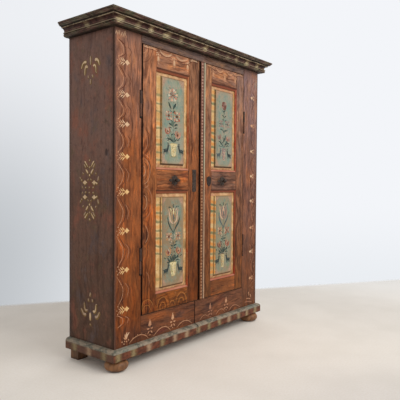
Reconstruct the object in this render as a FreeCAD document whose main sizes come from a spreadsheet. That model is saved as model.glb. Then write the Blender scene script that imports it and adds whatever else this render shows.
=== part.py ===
import FreeCAD, Part
import math
import os
import re

import Sketcher

# Painted two-door cupboard on bun feet.
# Frame: millimetres, +Z up, +X to the right of someone facing the doors,
# +Y towards the back. The origin is on the floor, in the middle of the
# whole outline (cornice included), so the front face of the carcass stands
# at front_y and its back at back_y.

V = FreeCAD.Vector
doc = FreeCAD.newDocument("painted_cupboard")
sheet = doc.addObject("Spreadsheet::Sheet", "dims")

DIMS = [
    # carcass outline
    ("half_width", 675.0, "half the carcass width"),
    ("front_y", -148.5, "front face of the carcass"),
    ("back_y", 223.5, "back face of the carcass"),
    ("total_height", 1850.0, "floor to top"),
    ("foot_height", 63.0, "floor to underside of plinth"),
    ("plinth_height", 59.0, "plinth moulding height"),
    ("plinth_out", 27.0, "plinth moulding projection"),
    ("cornice_height", 73.0, "cornice height"),
    ("cornice_out", 75.0, "cornice projection"),
    ("side_thick", 26.0, "side boards"),
    ("frame_thick", 30.0, "front frame thickness"),
    ("stile_lip", 10.0, "stile thickness in front of the side board"),
    ("top_thick", 18.0, "top boards"),
    ("back_thick", 16.0, "back boards"),
    ("board_gap", 1.2, "open joint between boards"),
    # front frame
    ("left_jamb_x", -483.0, "inner edge of the left front stile"),
    ("right_jamb_x", 497.0, "inner edge of the right front stile"),
    ("head_z", 1735.0, "underside of the front top rail"),
    ("base_top_z", 261.0, "top of the base boards"),
    ("split_x", -19.5, "open joint between the base boards"),
    ("split_gap", 3.0, "width of that joint"),
    # doors
    ("door_thick", 29.0, "door frame thickness"),
    ("left_gap", 8.0, "gap beside the left door"),
    ("right_gap", 2.5, "gap beside the right door"),
    ("door_low_z", 265.0, "door bottom"),
    ("door_high_z", 1731.0, "door top"),
    ("meet_left_x", 11.0, "right edge of the left door"),
    ("meet_right_x", 16.0, "left edge of the right door"),
    ("lo_open_low", 372.0, "lower panel opening, bottom"),
    ("lo_open_high", 928.0, "lower panel opening, top"),
    ("up_open_low", 1074.0, "upper panel opening, bottom"),
    ("up_open_high", 1609.0, "upper panel opening, top"),
    ("l_open_a", -362.0, "left door opening, left"),
    ("l_open_b", -92.0, "left door opening, right"),
    ("r_open_a", 142.0, "right door opening, left"),
    ("r_open_b", 408.0, "right door opening, right"),
    ("groove_deep", 10.0, "panel groove depth"),
    ("panel_y", 14.0, "panel edge behind the door face"),
    ("panel_thick", 8.0, "panel tongue thickness"),
    ("shoulder_y", 6.5, "foot of the field's shoulder behind the face"),
    ("field_y", 1.5, "raised field behind the door face"),
    ("bevel_side", 37.0, "bevel width at the sides"),
    ("bevel_end", 22.0, "bevel width at the ends"),
    ("chamfer_deep", 7.0, "depth of the chamfer round the panel openings"),
    ("chamfer_side", 7.0, "its width at the sides"),
    ("chamfer_low", 12.0, "its width at the bottom"),
    ("chamfer_top", 20.0, "its width at the top"),
    ("tenon_y", 9.5, "tenon behind the door face"),
    ("tenon_thick", 10.0, "tenon thickness"),
    ("tenon_in", 16.0, "tenon shoulder at its edges"),
    # inside
    ("floor_thick", 22.0, "floor boards"),
    ("bearer", 30.0, "bearer section"),
    ("shelf_thick", 20.0, "shelf boards"),
    ("shelf_set", 78.0, "shelf front edge behind the front face"),
    ("shelf_a_z", 640.0, "top of the lowest shelf"),
    ("shelf_b_z", 1010.0, "top of the middle shelf"),
    ("shelf_c_z", 1380.0, "top of the highest shelf"),
    ("stop_low_z", 1712.0, "door stop batten, bottom"),
    ("stop_high_z", 1770.0, "door stop batten, top"),
    ("stop_thick", 26.0, "door stop batten depth"),
    # hinges
    ("barrel_r", 7.0, "knuckle radius"),
    ("pin_r", 4.0, "hinge pin radius"),
    ("pin_play", 0.05, "radial running clearance"),
    ("axis_in", 7.0, "hinge axis beside the stile's inner edge"),
    ("knuckle_len", 68.0, "length of one knuckle"),
    ("knuckle_gap", 1.0, "gap between the two knuckles"),
    ("leaf_thick", 2.0, "hinge leaf thickness"),
    ("leaf_deep", 26.0, "hinge leaf depth behind the front face"),
    ("leaf_front", 1.0, "front edge of the door's leaf behind the front face"),
    ("hinge_up_z", 1412.0, "middle of the upper hinges"),
    ("hinge_lo_z", 562.0, "middle of the lower hinges"),
    # ironwork
    ("lock_z", 1003.0, "height of lock, knobs and plates"),
    ("key_x", 113.0, "keyhole"),
    ("bolt_x", -35.0, "middle of the left door's bolts"),
    ("bolt_wide", 12.0, "bolt width"),
    ("bolt_thick", 6.0, "bolt thickness"),
    ("bolt_len", 220.0, "bolt length"),
    ("bolt_play", 0.5, "bolt clearance in its guides"),
    ("knob_l_x", -213.0, "left rosette"),
    ("knob_r_x", 255.0, "right rosette"),
    ("rosette_r", 24.0, "rosette radius without its lobes"),
    ("knob_r", 12.0, "knob radius"),
    # feet
    ("bun_in_x", 43.0, "bun foot centre inside the carcass side"),
    ("bun_in_y", 30.0, "bun foot centre behind the carcass front"),
    ("bun_r", 63.0, "bun foot radius"),
    ("spigot_r", 13.0, "turned spigot on the bun foot"),
    ("spigot_len", 30.0, "length of that spigot"),
    ("block_x", 66.0, "rear block foot, width"),
    ("block_y", 66.0, "rear block foot, depth"),
]
P = {}
for row, (alias, value, note) in enumerate(DIMS, start=1):
    sheet.set("A%d" % row, alias)
    sheet.set("B%d" % row, "%.4f" % value)
    sheet.setAlias("B%d" % row, alias)
    sheet.set("C%d" % row, note)
    P[alias] = value
doc.recompute()


def ex(text):
    """Turn 'front_y + 2' into an expression on the dims sheet."""
    return re.sub(r"[a-z][a-z_]*", lambda m: "dims." + m.group(0), text)


def num(text):
    """Value of such an expression: sums of products of dims and numbers."""
    total = 0.0
    for sign, term in re.findall(r"([+-]?)\s*([a-z_0-9.*/ ]+)", text):
        value = 1.0
        for op, factor in re.findall(r"([*/]?)\s*([a-z_]+|[0-9.]+)", term):
            f = P[factor] if factor in P else float(factor)
            value = value / f if op == "/" else value * f
        total += -value if sign == "-" else value
    return total


parts = []


def node(obj, label):
    obj.Label = label
    parts.append(obj)
    return obj


def place(obj, x, y, z):
    obj.setExpression("Placement.Base.x", ex(x))
    obj.setExpression("Placement.Base.y", ex(y))
    obj.setExpression("Placement.Base.z", ex(z))


def box(name, x0, x1, y0, y1, z0, z1):
    """A board between two corners, each given as an expression."""
    b = doc.addObject("Part::Box", name)
    b.setExpression("Length", ex("(%s) - (%s)" % (x1, x0)))
    b.setExpression("Width", ex("(%s) - (%s)" % (y1, y0)))
    b.setExpression("Height", ex("(%s) - (%s)" % (z1, z0)))
    place(b, x0, y0, z0)
    return b


def cyl(name, x, y, z, radius, length, axis="z"):
    c = doc.addObject("Part::Cylinder", name)
    c.setExpression("Radius", ex(radius))
    c.setExpression("Height", ex(length))
    if axis == "-y":
        c.Placement = FreeCAD.Placement(V(0, 0, 0), FreeCAD.Rotation(V(1, 0, 0), 90))
    if axis == "y":
        c.Placement = FreeCAD.Placement(V(0, 0, 0), FreeCAD.Rotation(V(1, 0, 0), -90))
    place(c, x, y, z)
    return c


def group(name, objs):
    g = doc.addObject("Part::Compound", name)
    g.Links = objs
    return g


def fuse(name, objs):
    f = doc.addObject("Part::MultiFuse", name)
    f.Shapes = objs
    return f


def cut(name, base, tools):
    c = doc.addObject("Part::Cut", name)
    c.Base = base
    c.Tool = tools[0] if len(tools) == 1 else group(name + "_tools", tools)
    return c


# ------------------------------------------------------------ sections and pads
def plane(body, role):
    return [f for f in body.Origin.OriginFeatures if f.Role == role][0]


def sketch(body, role, name):
    s = body.newObject("Sketcher::SketchObject", name)
    s.AttachmentSupport = [(plane(body, role), "")]
    s.MapMode = "FlatFace"
    return s


def outline(s, points):
    """Closed outline with arcs, its points worked out from the dims. A point is
    (u, v) or (u, v, (mu, mv)): the second form is reached by an arc through
    (mu, mv)."""
    n = len(points)
    flat = [(num(p[0]), num(p[1])) for p in points]
    for i in range(n):
        a, b = flat[i], flat[(i + 1) % n]
        nxt = points[(i + 1) % n]
        if len(nxt) > 2:
            m = (num(nxt[2][0]), num(nxt[2][1]))
            s.addGeometry(Part.Arc(V(a[0], a[1], 0), V(m[0], m[1], 0), V(b[0], b[1], 0)), False)
        else:
            s.addGeometry(Part.LineSegment(V(a[0], a[1], 0), V(b[0], b[1], 0)), False)


def bound_polygon(s, points):
    """Straight-sided outline with every corner bound to the sheet."""
    n = len(points)
    flat = [(num(u), num(v)) for u, v in points]
    for i in range(n):
        a, b = flat[i], flat[(i + 1) % n]
        s.addGeometry(Part.LineSegment(V(a[0], a[1], 0), V(b[0], b[1], 0)), False)
    for i in range(n):
        s.addConstraint(Sketcher.Constraint("Coincident", i, 2, (i + 1) % n, 1))
    for i, (u, v) in enumerate(points):
        cu = s.addConstraint(Sketcher.Constraint("DistanceX", -1, 1, i, 1, flat[i][0]))
        s.setExpression("Constraints[%d]" % cu, ex(u))
        cv = s.addConstraint(Sketcher.Constraint("DistanceY", -1, 1, i, 1, flat[i][1]))
        s.setExpression("Constraints[%d]" % cv, ex(v))


def new_body(name):
    return doc.addObject("PartDesign::Body", name)


def pad(body, s, length, reversed_=False):
    p = body.newObject("PartDesign::Pad", s.Name + "_pad")
    p.Profile = s
    p.setExpression("Length", ex(length))
    p.Reversed = reversed_
    body.Tip = p
    return p


def pocket_all(body, s, reversed_):
    k = body.newObject("PartDesign::Pocket", s.Name + "_cut")
    k.Profile = s
    k.Type = "ThroughAll"
    k.Reversed = reversed_
    body.Tip = k
    return k


# Mouldings: out is the projection from the carcass face, up the height.
def cornice_profile(side):
    o = lambda f: ("%scornice_out*%.4f" % (side, f))
    q = lambda f: "cornice_height*%.4f" % f
    return [
        ("0", "0"),
        (o(0.34), "0"),
        (o(0.38), q(0.02)),
        (o(0.45), q(0.255), (o(0.505), q(0.12))),       # torus
        (o(0.53), q(0.255)),
        (o(0.53), q(0.315)),                            # lower fillet
        (o(0.45), q(0.345)),
        (o(0.61), q(0.615), (o(0.475), q(0.505))),      # hollow
        (o(0.69), q(0.615)),
        (o(0.69), q(0.685)),                            # upper fillet
        (o(0.715), q(0.71)),
        (o(0.955), q(0.895), (o(0.87), q(0.765))),      # ovolo
        (o(1.0), q(0.895)),
        (o(1.0), q(1.0)),                               # top fillet
        ("0", q(1.0)),
    ]


def plinth_profile(side):
    o = lambda f: ("%splinth_out*%.4f" % (side, f))
    q = lambda f: "plinth_height*%.4f" % f
    return [
        ("0", "0"),
        (o(0.96), "0"),
        (o(1.0), q(0.05)),
        (o(1.0), q(0.58)),
        (o(0.30), q(0.97), (o(0.85), q(0.86))),         # rounded top
        (o(0.12), q(1.0)),
        ("0", q(1.0)),
    ]


def front_moulding(name, profile, out, x0, length, z0, left, right):
    """Length of moulding along the front, mitred at its outer ends."""
    b = new_body(name)
    s = sketch(b, "YZ_Plane", name + "_profile")
    outline(s, profile("-"))
    pad(b, s, length)
    ends = []
    o, n = num(out), num(length)
    if left:
        ends.append([(o + 5, 5), (-5, -o - 5), (-5, 5)])
    if right:
        ends.append([(n - o - 5, 5), (n + 5, -o - 5), (n + 5, 5)])
    m = sketch(b, "XY_Plane", name + "_mitre")
    for tri in ends:
        for i in range(3):
            a, c = tri[i], tri[(i + 1) % 3]
            m.addGeometry(Part.LineSegment(V(a[0], a[1], 0), V(c[0], c[1], 0)), False)
    doc.recompute()
    pocket_all(b, m, True)
    place(b, x0, "front_y", z0)
    return node(b, name)


def side_moulding(name, profile, out, side, length, z0):
    """Return along one side, mitred in front and square at the back."""
    b = new_body(name)
    s = sketch(b, "XZ_Plane", name + "_profile")
    outline(s, profile("-" if side < 0 else ""))
    pad(b, s, length)
    o, n = num(out), num(length)
    k = 1 if side < 0 else -1
    tri = [(5 * k, -n + o + 5), ((-o - 5) * k, -n - 5), (5 * k, -n - 5)]
    m = sketch(b, "XY_Plane", name + "_mitre")
    for i in range(3):
        a, c = tri[i], tri[(i + 1) % 3]
        m.addGeometry(Part.LineSegment(V(a[0], a[1], 0), V(c[0], c[1], 0)), False)
    doc.recompute()
    pocket_all(b, m, True)
    place(b, "-half_width" if side < 0 else "half_width", "back_y", z0)
    return node(b, name)


# ---------------------------------------------------------------- carcass
TOP_LOW = "total_height - top_thick"
FLOOR_TOP = "base_top_z + floor_thick"

node(box("left_side_board", "-half_width", "-half_width + side_thick",
         "front_y + stile_lip", "back_y", "foot_height", TOP_LOW), "left_side_board")
node(box("right_side_board", "half_width - side_thick", "half_width",
         "front_y + stile_lip", "back_y", "foot_height", TOP_LOW), "right_side_board")


def front_stile(name, outer, inner, sign):
    """Wide front stile, rebated over the front edge of the side board."""
    b = new_body(name + "_blank")
    s = sketch(b, "XY_Plane", name + "_section")
    shoulder = "-half_width + side_thick" if sign < 0 else "half_width - side_thick"
    pts = [(outer, "front_y"), (inner, "front_y"), (inner, "front_y + frame_thick"),
           (shoulder, "front_y + frame_thick"), (shoulder, "front_y + stile_lip"),
           (outer, "front_y + stile_lip")]
    bound_polygon(s, pts)
    pad(b, s, "total_height - top_thick - foot_height")
    b.setExpression("Placement.Base.z", ex("foot_height"))
    # Half of the hole for the bun foot's spigot, in the stile's lower end.
    tools = [cyl(name + "_foot_bore", "-half_width + bun_in_x" if sign < 0 else "half_width - bun_in_x",
                 "front_y + bun_in_y", "foot_height - 1", "spigot_r + 0.2", "spigot_len + 2")]
    # Notches for the hinge knuckles and shallow pockets for the frame's leaves.
    for level in ("up", "lo"):
        mid = "hinge_%s_z" % level
        if sign < 0:
            nx0, nx1 = inner + " - axis_in - barrel_r - 1.2", inner + " + 1"
            lx0, lx1 = inner + " - leaf_thick", inner + " + 1"
        else:
            nx0, nx1 = inner + " - 1", inner + " + axis_in + barrel_r + 1.2"
            lx0, lx1 = inner + " - 1", inner + " + leaf_thick"
        tools.append(box("%s_%s_notch" % (name, level), nx0, nx1, "front_y - 1", "front_y + barrel_r + 1.5",
                         mid + " - knuckle_len - 11", mid + " + knuckle_len + 4"))
        tools.append(box("%s_%s_pocket" % (name, level), lx0, lx1, "front_y - 1", "front_y + leaf_deep",
                         mid + " - knuckle_gap/2 - knuckle_len", mid + " - knuckle_gap/2"))
    return node(cut(name + "_bored", b, tools), name)


front_stile("left_front_stile", "-half_width", "left_jamb_x", -1)
front_stile("right_front_stile", "half_width", "right_jamb_x", 1)

node(box("front_top_rail", "left_jamb_x", "right_jamb_x", "front_y", "front_y + frame_thick",
         "head_z", TOP_LOW), "front_top_rail")
node(box("left_base_board", "left_jamb_x", "split_x - split_gap/2", "front_y",
         "front_y + frame_thick", "foot_height", "base_top_z"), "left_base_board")
node(box("right_base_board", "split_x + split_gap/2", "right_jamb_x", "front_y",
         "front_y + frame_thick", "foot_height", "base_top_z"), "right_base_board")

# Top boards: two wide boards along the cupboard, inside the cornice.
MID_Y = "front_y*0.5 + back_y*0.5"
node(group("top_boards", [
    box("top_board_front", "-half_width", "half_width", "front_y", MID_Y + " - board_gap*0.5",
        TOP_LOW, "total_height"),
    box("top_board_rear", "-half_width", "half_width", MID_Y + " + board_gap*0.5", "back_y",
        TOP_LOW, "total_height")]), "top_boards")

# Back: six upright boards between the sides, each a little different in width.
edges = [-1.0, -0.66, -0.31, 0.02, 0.35, 0.69, 1.0]
back = []
for i in range(6):
    a = "%.3f*half_width - %.3f*side_thick" % (edges[i], edges[i]) if i else "-half_width + side_thick"
    b = "%.3f*half_width - %.3f*side_thick" % (edges[i + 1], edges[i + 1])
    a = a.replace("- -", "+ ")
    b = b.replace("- -", "+ ")
    back.append(box("back_board_%d" % (i + 1),
                    a + (" + board_gap*0.5" if i else ""),
                    b + (" - board_gap*0.5" if i < 5 else ""),
                    "back_y - back_thick", "back_y", "foot_height", TOP_LOW))
node(group("back_boards", back), "back_boards")

# Floor: a front and a rear board on bearers; the front edge stops the doors.
FLOOR_MID = "front_y*0.5 + back_y*0.5 + 6"
bolt_hole_floor = box("floor_bolt_hole", "bolt_x - bolt_wide/2 - 2", "bolt_x + bolt_wide/2 + 2",
                      "front_y + door_thick + 3.5", "front_y + door_thick + 12.5",
                      "base_top_z - 1", FLOOR_TOP + " + 1")
floor_front = cut("floor_board_front",
                  box("floor_board_front_blank", "-half_width + side_thick", "half_width - side_thick",
                      "front_y + frame_thick", FLOOR_MID + " - board_gap*0.5", "base_top_z", FLOOR_TOP),
                  [bolt_hole_floor])
floor_rear = box("floor_board_rear", "-half_width + side_thick", "half_width - side_thick",
                 FLOOR_MID + " + board_gap*0.5", "back_y - back_thick", "base_top_z", FLOOR_TOP)
node(group("floor_boards", [floor_front, floor_rear]), "floor_boards")

node(group("floor_bearers", [
    box("bearer_left", "-half_width + side_thick", "-half_width + side_thick + bearer",
        "front_y + frame_thick + bearer", "back_y - back_thick", "base_top_z - bearer", "base_top_z"),
    box("bearer_right", "half_width - side_thick - bearer", "half_width - side_thick",
        "front_y + frame_thick + bearer", "back_y - back_thick", "base_top_z - bearer", "base_top_z"),
    box("bearer_front", "-half_width + side_thick", "half_width - side_thick",
        "front_y + frame_thick", "front_y + frame_thick + bearer", "base_top_z - bearer", "base_top_z"),
    box("bearer_middle", "split_x - bearer/2", "split_x + bearer/2",
        "front_y + frame_thick + bearer", "back_y - back_thick", "base_top_z - bearer", "base_top_z"),
]), "floor_bearers")

# Shelves and their cleats.
shelves, cleats = [], []
for tag in ("a", "b", "c"):
    top = "shelf_%s_z" % tag
    shelves.append(box("shelf_" + tag, "-half_width + side_thick", "half_width - side_thick",
                       "front_y + shelf_set", "back_y - back_thick", top + " - shelf_thick", top))
    for side, x0, x1 in (("left", "-half_width + side_thick", "-half_width + side_thick + bearer*0.8"),
                         ("right", "half_width - side_thick - bearer*0.8", "half_width - side_thick")):
        cleats.append(box("cleat_%s_%s" % (tag, side), x0, x1, "front_y + shelf_set + 8",
                          "back_y - back_thick - 6", top + " - shelf_thick - bearer", top + " - shelf_thick"))
for tag, label, s in zip("abc", ("lower_shelf", "middle_shelf", "upper_shelf"), shelves):
    node(s, label)
node(group("shelf_cleats", cleats), "shelf_cleats")

# Door stop batten behind the top rail, with the hole that the top bolt enters.
bolt_hole_stop = box("stop_bolt_hole", "bolt_x - bolt_wide/2 - 2", "bolt_x + bolt_wide/2 + 2",
                     "front_y + door_thick + 3.5", "front_y + door_thick + 12.5",
                     "stop_low_z - 1", "stop_high_z + 1")
node(cut("door_stop", box("door_stop_blank", "left_jamb_x", "right_jamb_x", "front_y + frame_thick",
                          "front_y + frame_thick + stop_thick", "stop_low_z", "stop_high_z"),
         [bolt_hole_stop]), "door_stop")

# Cornice and plinth.
CORNICE_Z = "total_height - cornice_height"
front_moulding("cornice_front", cornice_profile, "cornice_out", "-half_width - cornice_out",
               "2*half_width + 2*cornice_out", CORNICE_Z, True, True)
side_moulding("cornice_left", cornice_profile, "cornice_out", -1, "back_y - front_y + cornice_out", CORNICE_Z)
side_moulding("cornice_right", cornice_profile, "cornice_out", 1, "back_y - front_y + cornice_out", CORNICE_Z)
front_moulding("plinth_front_left", plinth_profile, "plinth_out", "-half_width - plinth_out",
               "half_width + plinth_out + split_x - split_gap/2", "foot_height", True, False)
front_moulding("plinth_front_right", plinth_profile, "plinth_out", "split_x + split_gap/2",
               "half_width + plinth_out - split_x - split_gap/2", "foot_height", False, True)
side_moulding("plinth_left", plinth_profile, "plinth_out", -1, "back_y - front_y + plinth_out", "foot_height")
side_moulding("plinth_right", plinth_profile, "plinth_out", 1, "back_y - front_y + plinth_out", "foot_height")


# Feet: turned buns with a spigot in front, plain blocks behind.
def bun(name, x, y):
    b = new_body(name)
    s = sketch(b, "XZ_Plane", name + "_half")
    r, t = "bun_r", "foot_height"
    outline(s, [
        ("0", "0"),
        (r + "*0.50", "0"),
        (r + "*0.60", t + "*0.05"),
        (r + "*0.72", t + "*0.87", (r + "*1.0", t + "*0.48")),   # flattened ball
        (r + "*0.60", t + "*0.90"),
        (r + "*0.60", t),
        ("spigot_r", t),
        ("spigot_r", t + " + spigot_len"),
        ("0", t + " + spigot_len"),
    ])
    rev = b.newObject("PartDesign::Revolution", name + "_turned")
    rev.Profile = s
    rev.ReferenceAxis = (s, ["V_Axis"])
    rev.Angle = 360.0
    b.Tip = rev
    b.setExpression("Placement.Base.x", ex(x))
    b.setExpression("Placement.Base.y", ex(y))
    return b


node(bun("left_bun_foot", "-half_width + bun_in_x", "front_y + bun_in_y"), "left_bun_foot")
node(bun("right_bun_foot", "half_width - bun_in_x", "front_y + bun_in_y"), "right_bun_foot")
REAR_Y0 = "back_y - block_y - 6"
node(box("left_rear_foot", "-half_width + 4", "-half_width + 4 + block_x", REAR_Y0, "back_y - 6", "0", "foot_height"),
     "left_rear_foot")
node(box("right_rear_foot", "half_width - 4 - block_x", "half_width - 4", REAR_Y0, "back_y - 6", "0", "foot_height"),
     "right_rear_foot")

# Corner blocks inside the plinth; the front ones are bored for the spigots.
blocks = []
for side, x0, x1, cx in (("left", "-half_width + side_thick", "-half_width + side_thick + 74", "-half_width + bun_in_x"),
                         ("right", "half_width - side_thick - 74", "half_width - side_thick", "half_width - bun_in_x")):
    blank = box("corner_%s_front_blank" % side, x0, x1, "front_y + frame_thick", "front_y + frame_thick + 74",
                "foot_height", "foot_height + 44")
    bore = cyl("corner_%s_bore" % side, cx, "front_y + bun_in_y", "foot_height - 1", "spigot_r + 0.2", "spigot_len + 2")
    blocks.append(cut("corner_%s_front" % side, blank, [bore]))
    blocks.append(box("corner_%s_rear" % side, x0, x1, "back_y - back_thick - 74", "back_y - back_thick",
                      "foot_height", "foot_height + 44"))
node(group("corner_blocks", blocks), "corner_blocks")


# ---------------------------------------------------------------- doors
def D(text):
    """Depth behind the door's face."""
    return "front_y + " + text


OPENINGS = (("lo_open_low", "lo_open_high"), ("up_open_low", "up_open_high"))
RAILS = (("top_rail", "up_open_high", "door_high_z"),
         ("lock_rail", "lo_open_high", "up_open_low"),
         ("bottom_rail", "door_low_z", "lo_open_low"))


def opening_chamfer(name, oa, ob, z0, z1):
    """Frustum that cuts the chamfer round one panel opening, mitred at its corners."""
    w = doc.addObject("Part::Wedge", name)
    # In the wedge's own frame y runs from in front of the face to the chamfer's foot.
    w.setExpression("Ymin", ex("-chamfer_deep*0.1"))
    w.setExpression("Ymax", ex("chamfer_deep"))
    w.setExpression("Xmin", ex(oa + " - chamfer_side*1.1"))
    w.setExpression("Xmax", ex(ob + " + chamfer_side*1.1"))
    w.setExpression("Zmin", ex(z0 + " - chamfer_low*1.1"))
    w.setExpression("Zmax", ex(z1 + " + chamfer_top*1.1"))
    w.setExpression("X2min", ex(oa))
    w.setExpression("X2max", ex(ob))
    w.setExpression("Z2min", ex(z0))
    w.setExpression("Z2max", ex(z1))
    w.setExpression("Placement.Base.y", ex("front_y"))
    return w


def stile(name, x0, x1, groove_at, chamfers, hinge=None, key=False):
    """Door stile with through mortises for the rails and grooves for the panels.
    groove_at is 'a' where the grooved edge is x0 and 'b' where it is x1, and
    hinge is -1 or 1 where leaves are let into that outer edge."""
    blank = box(name + "_blank", x0, x1, "front_y", D("door_thick"), "door_low_z", "door_high_z")
    tools = []
    for tag, z0, z1 in RAILS:
        tools.append(box("%s_%s_mortise" % (name, tag), x0 + " - 1", x1 + " + 1", D("tenon_y"),
                         D("tenon_y + tenon_thick"), z0 + " + tenon_in", z1 + " - tenon_in"))
    for k, (z0, z1) in enumerate(OPENINGS):
        gx0, gx1 = (x0 + " - 1", x0 + " + groove_deep") if groove_at == "a" else (x1 + " - groove_deep", x1 + " + 1")
        tools.append(box("%s_groove_%d" % (name, k), gx0, gx1, D("panel_y"), D("panel_y + panel_thick"),
                         z0 + " - groove_deep", z1 + " + groove_deep"))
    tools += chamfers
    if hinge:
        for level in ("up", "lo"):
            lx0, lx1 = (x0 + " - 1", x0 + " + leaf_thick") if hinge < 0 else (x1 + " - leaf_thick", x1 + " + 1")
            mid = "hinge_%s_z" % level
            tools.append(box("%s_%s_leaf_pocket" % (name, level), lx0, lx1, D("leaf_front"), D("leaf_deep"),
                             mid + " + knuckle_gap/2", mid + " + knuckle_gap/2 + knuckle_len"))
    if key:
        tools.append(cyl(name + "_key_round", "key_x", D("door_thick + 1"), "lock_z + 3.2", "6.6", "door_thick + 2", "-y"))
        tools.append(box(name + "_key_slot", "key_x - 3.4", "key_x + 3.4", D("-1").replace("+ -", "- "),
                         D("tenon_y - 0.5"), "lock_z - 16", "lock_z + 3"))
    return node(cut(name, blank, tools), name)


def rail(name, tag, z0, z1, x0, x1, left_w, right_w, chamfers):
    """Rail between the stiles, with tenons through them and panel grooves."""
    blank = box(name + "_blank", x0, x1, "front_y", D("door_thick"), z0, z1)
    tools = []
    if tag != "bottom_rail":
        tools.append(box(name + "_groove_low", x0 + " - 1", x1 + " + 1", D("panel_y"),
                         D("panel_y + panel_thick"), z0 + " - 1", z0 + " + groove_deep"))
    if tag != "top_rail":
        tools.append(box(name + "_groove_high", x0 + " - 1", x1 + " + 1", D("panel_y"),
                         D("panel_y + panel_thick"), z1 + " - groove_deep", z1 + " + 1"))
    body = cut(name + "_grooved", blank, tools + chamfers)
    tenon = box(name + "_tenon", left_w, right_w, D("tenon_y"), D("tenon_y + tenon_thick"),
                z0 + " + tenon_in", z1 + " - tenon_in")
    return node(fuse(name, [body, tenon]), name)


def panel(name, x0, x1, z0, z1):
    """Raised and fielded panel: tongue, sloping border, raised field."""
    tongue = box(name + "_tongue", x0 + " - groove_deep + 1", x1 + " + groove_deep - 1", D("panel_y"),
                 D("panel_y + panel_thick"), z0 + " - groove_deep + 1", z1 + " + groove_deep - 1")
    w = doc.addObject("Part::Wedge", name + "_border")
    # In the wedge's own frame y runs from the narrow front to the wide foot.
    w.setExpression("Ymin", ex("shoulder_y"))
    w.setExpression("Ymax", ex("panel_y + 1"))
    w.setExpression("Xmin", ex(x0 + " + bevel_side"))
    w.setExpression("Xmax", ex(x1 + " - bevel_side"))
    w.setExpression("Zmin", ex(z0 + " + bevel_end"))
    w.setExpression("Zmax", ex(z1 + " - bevel_end"))
    w.setExpression("X2min", ex(x0 + " + 0.6"))
    w.setExpression("X2max", ex(x1 + " - 0.6"))
    w.setExpression("Z2min", ex(z0 + " + 0.6"))
    w.setExpression("Z2max", ex(z1 + " - 0.6"))
    w.setExpression("Placement.Base.y", ex("front_y"))
    field = box(name + "_field", x0 + " + bevel_side + 1", x1 + " - bevel_side - 1", D("field_y"),
                D("panel_y + 2"), z0 + " + bevel_end + 1", z1 + " - bevel_end - 1")
    return node(fuse(name, [tongue, w, field]), name)


def door(side, x0, x1, oa, ob):
    left_name = "hinge_stile" if side == "left" else "meeting_stile"
    right_name = "meeting_stile" if side == "left" else "hinge_stile"
    low, high = [opening_chamfer("%s_%s_chamfer" % (side, tag), oa, ob, *zz)
                 for tag, zz in zip(("lower", "upper"), OPENINGS)]
    stile("%s_%s" % (side, left_name), x0, oa, "b", [low, high], -1 if side == "left" else None, key=(side == "right"))
    stile("%s_%s" % (side, right_name), ob, x1, "a", [low, high], None if side == "left" else 1)
    for tag, z0, z1 in RAILS:
        rail("%s_%s" % (side, tag), tag, z0, z1, oa, ob, x0, x1,
             {"top_rail": [high], "lock_rail": [low, high], "bottom_rail": [low]}[tag])
    panel("%s_lower_panel" % side, oa, ob, *OPENINGS[0])
    panel("%s_upper_panel" % side, oa, ob, *OPENINGS[1])


LEFT_X0 = "left_jamb_x + left_gap"
RIGHT_X1 = "right_jamb_x - right_gap"
door("left", LEFT_X0, "meet_left_x", "l_open_a", "l_open_b")
door("right", "meet_right_x", RIGHT_X1, "r_open_a", "r_open_b")

# Astragal on the right door's meeting edge: a rounded strip, a quirk, a
# fillet and a thin step, over the whole height of the door.
b = new_body("astragal")
s = sketch(b, "XY_Plane", "astragal_section")
outline(s, [
    ("0", "0"), ("0", "-8"), ("27", "-8", ("13.5", "-14.5")), ("27", "-5"), ("32", "-5"), ("32", "-11"),
    ("42", "-11"), ("42", "-6"), ("50", "-4", ("47", "-6")), ("52", "0"),
])
pad(b, s, "door_high_z - door_low_z - 2")
place(b, "meet_right_x", "front_y", "door_low_z + 1")
node(b, "astragal")


# ---------------------------------------------------------------- hinges
def knuckle(name, axis_x, z0, leaves):
    """One knuckle, bored for the pin, with its leaf."""
    barrel = cyl(name + "_barrel", axis_x, "front_y", z0, "barrel_r", "knuckle_len")
    bore = cyl(name + "_bore", axis_x, "front_y", z0 + " - 1", "pin_r + pin_play", "knuckle_len + 2")
    return cut(name, fuse(name + "_body", [barrel] + leaves), [bore])


def frame_half(name, axis_x, x0, x1, z0):
    """Lower knuckle; its leaf is let into the edge of the front stile."""
    leaf = box(name + "_leaf", x0, x1, "front_y - 1", "front_y + leaf_deep", z0, z0 + " + knuckle_len")
    return knuckle(name, axis_x, z0, [leaf])


def door_half(name, axis_x, edge, sign, z0):
    """Upper knuckle; its cranked leaf crosses the gap and is let into the door's edge."""
    x0, x1 = (axis_x, edge + " + leaf_thick") if sign < 0 else (edge + " - leaf_thick", axis_x)
    web = box(name + "_web", x0, x1, "front_y + leaf_front", "front_y + leaf_front + leaf_thick", z0, z0 + " + knuckle_len")
    x0, x1 = (edge, edge + " + leaf_thick") if sign < 0 else (edge + " - leaf_thick", edge)
    leaf = box(name + "_leaf", x0, x1, "front_y + leaf_front", "front_y + leaf_deep", z0, z0 + " + knuckle_len")
    return knuckle(name, axis_x, z0, [web, leaf])


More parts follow.
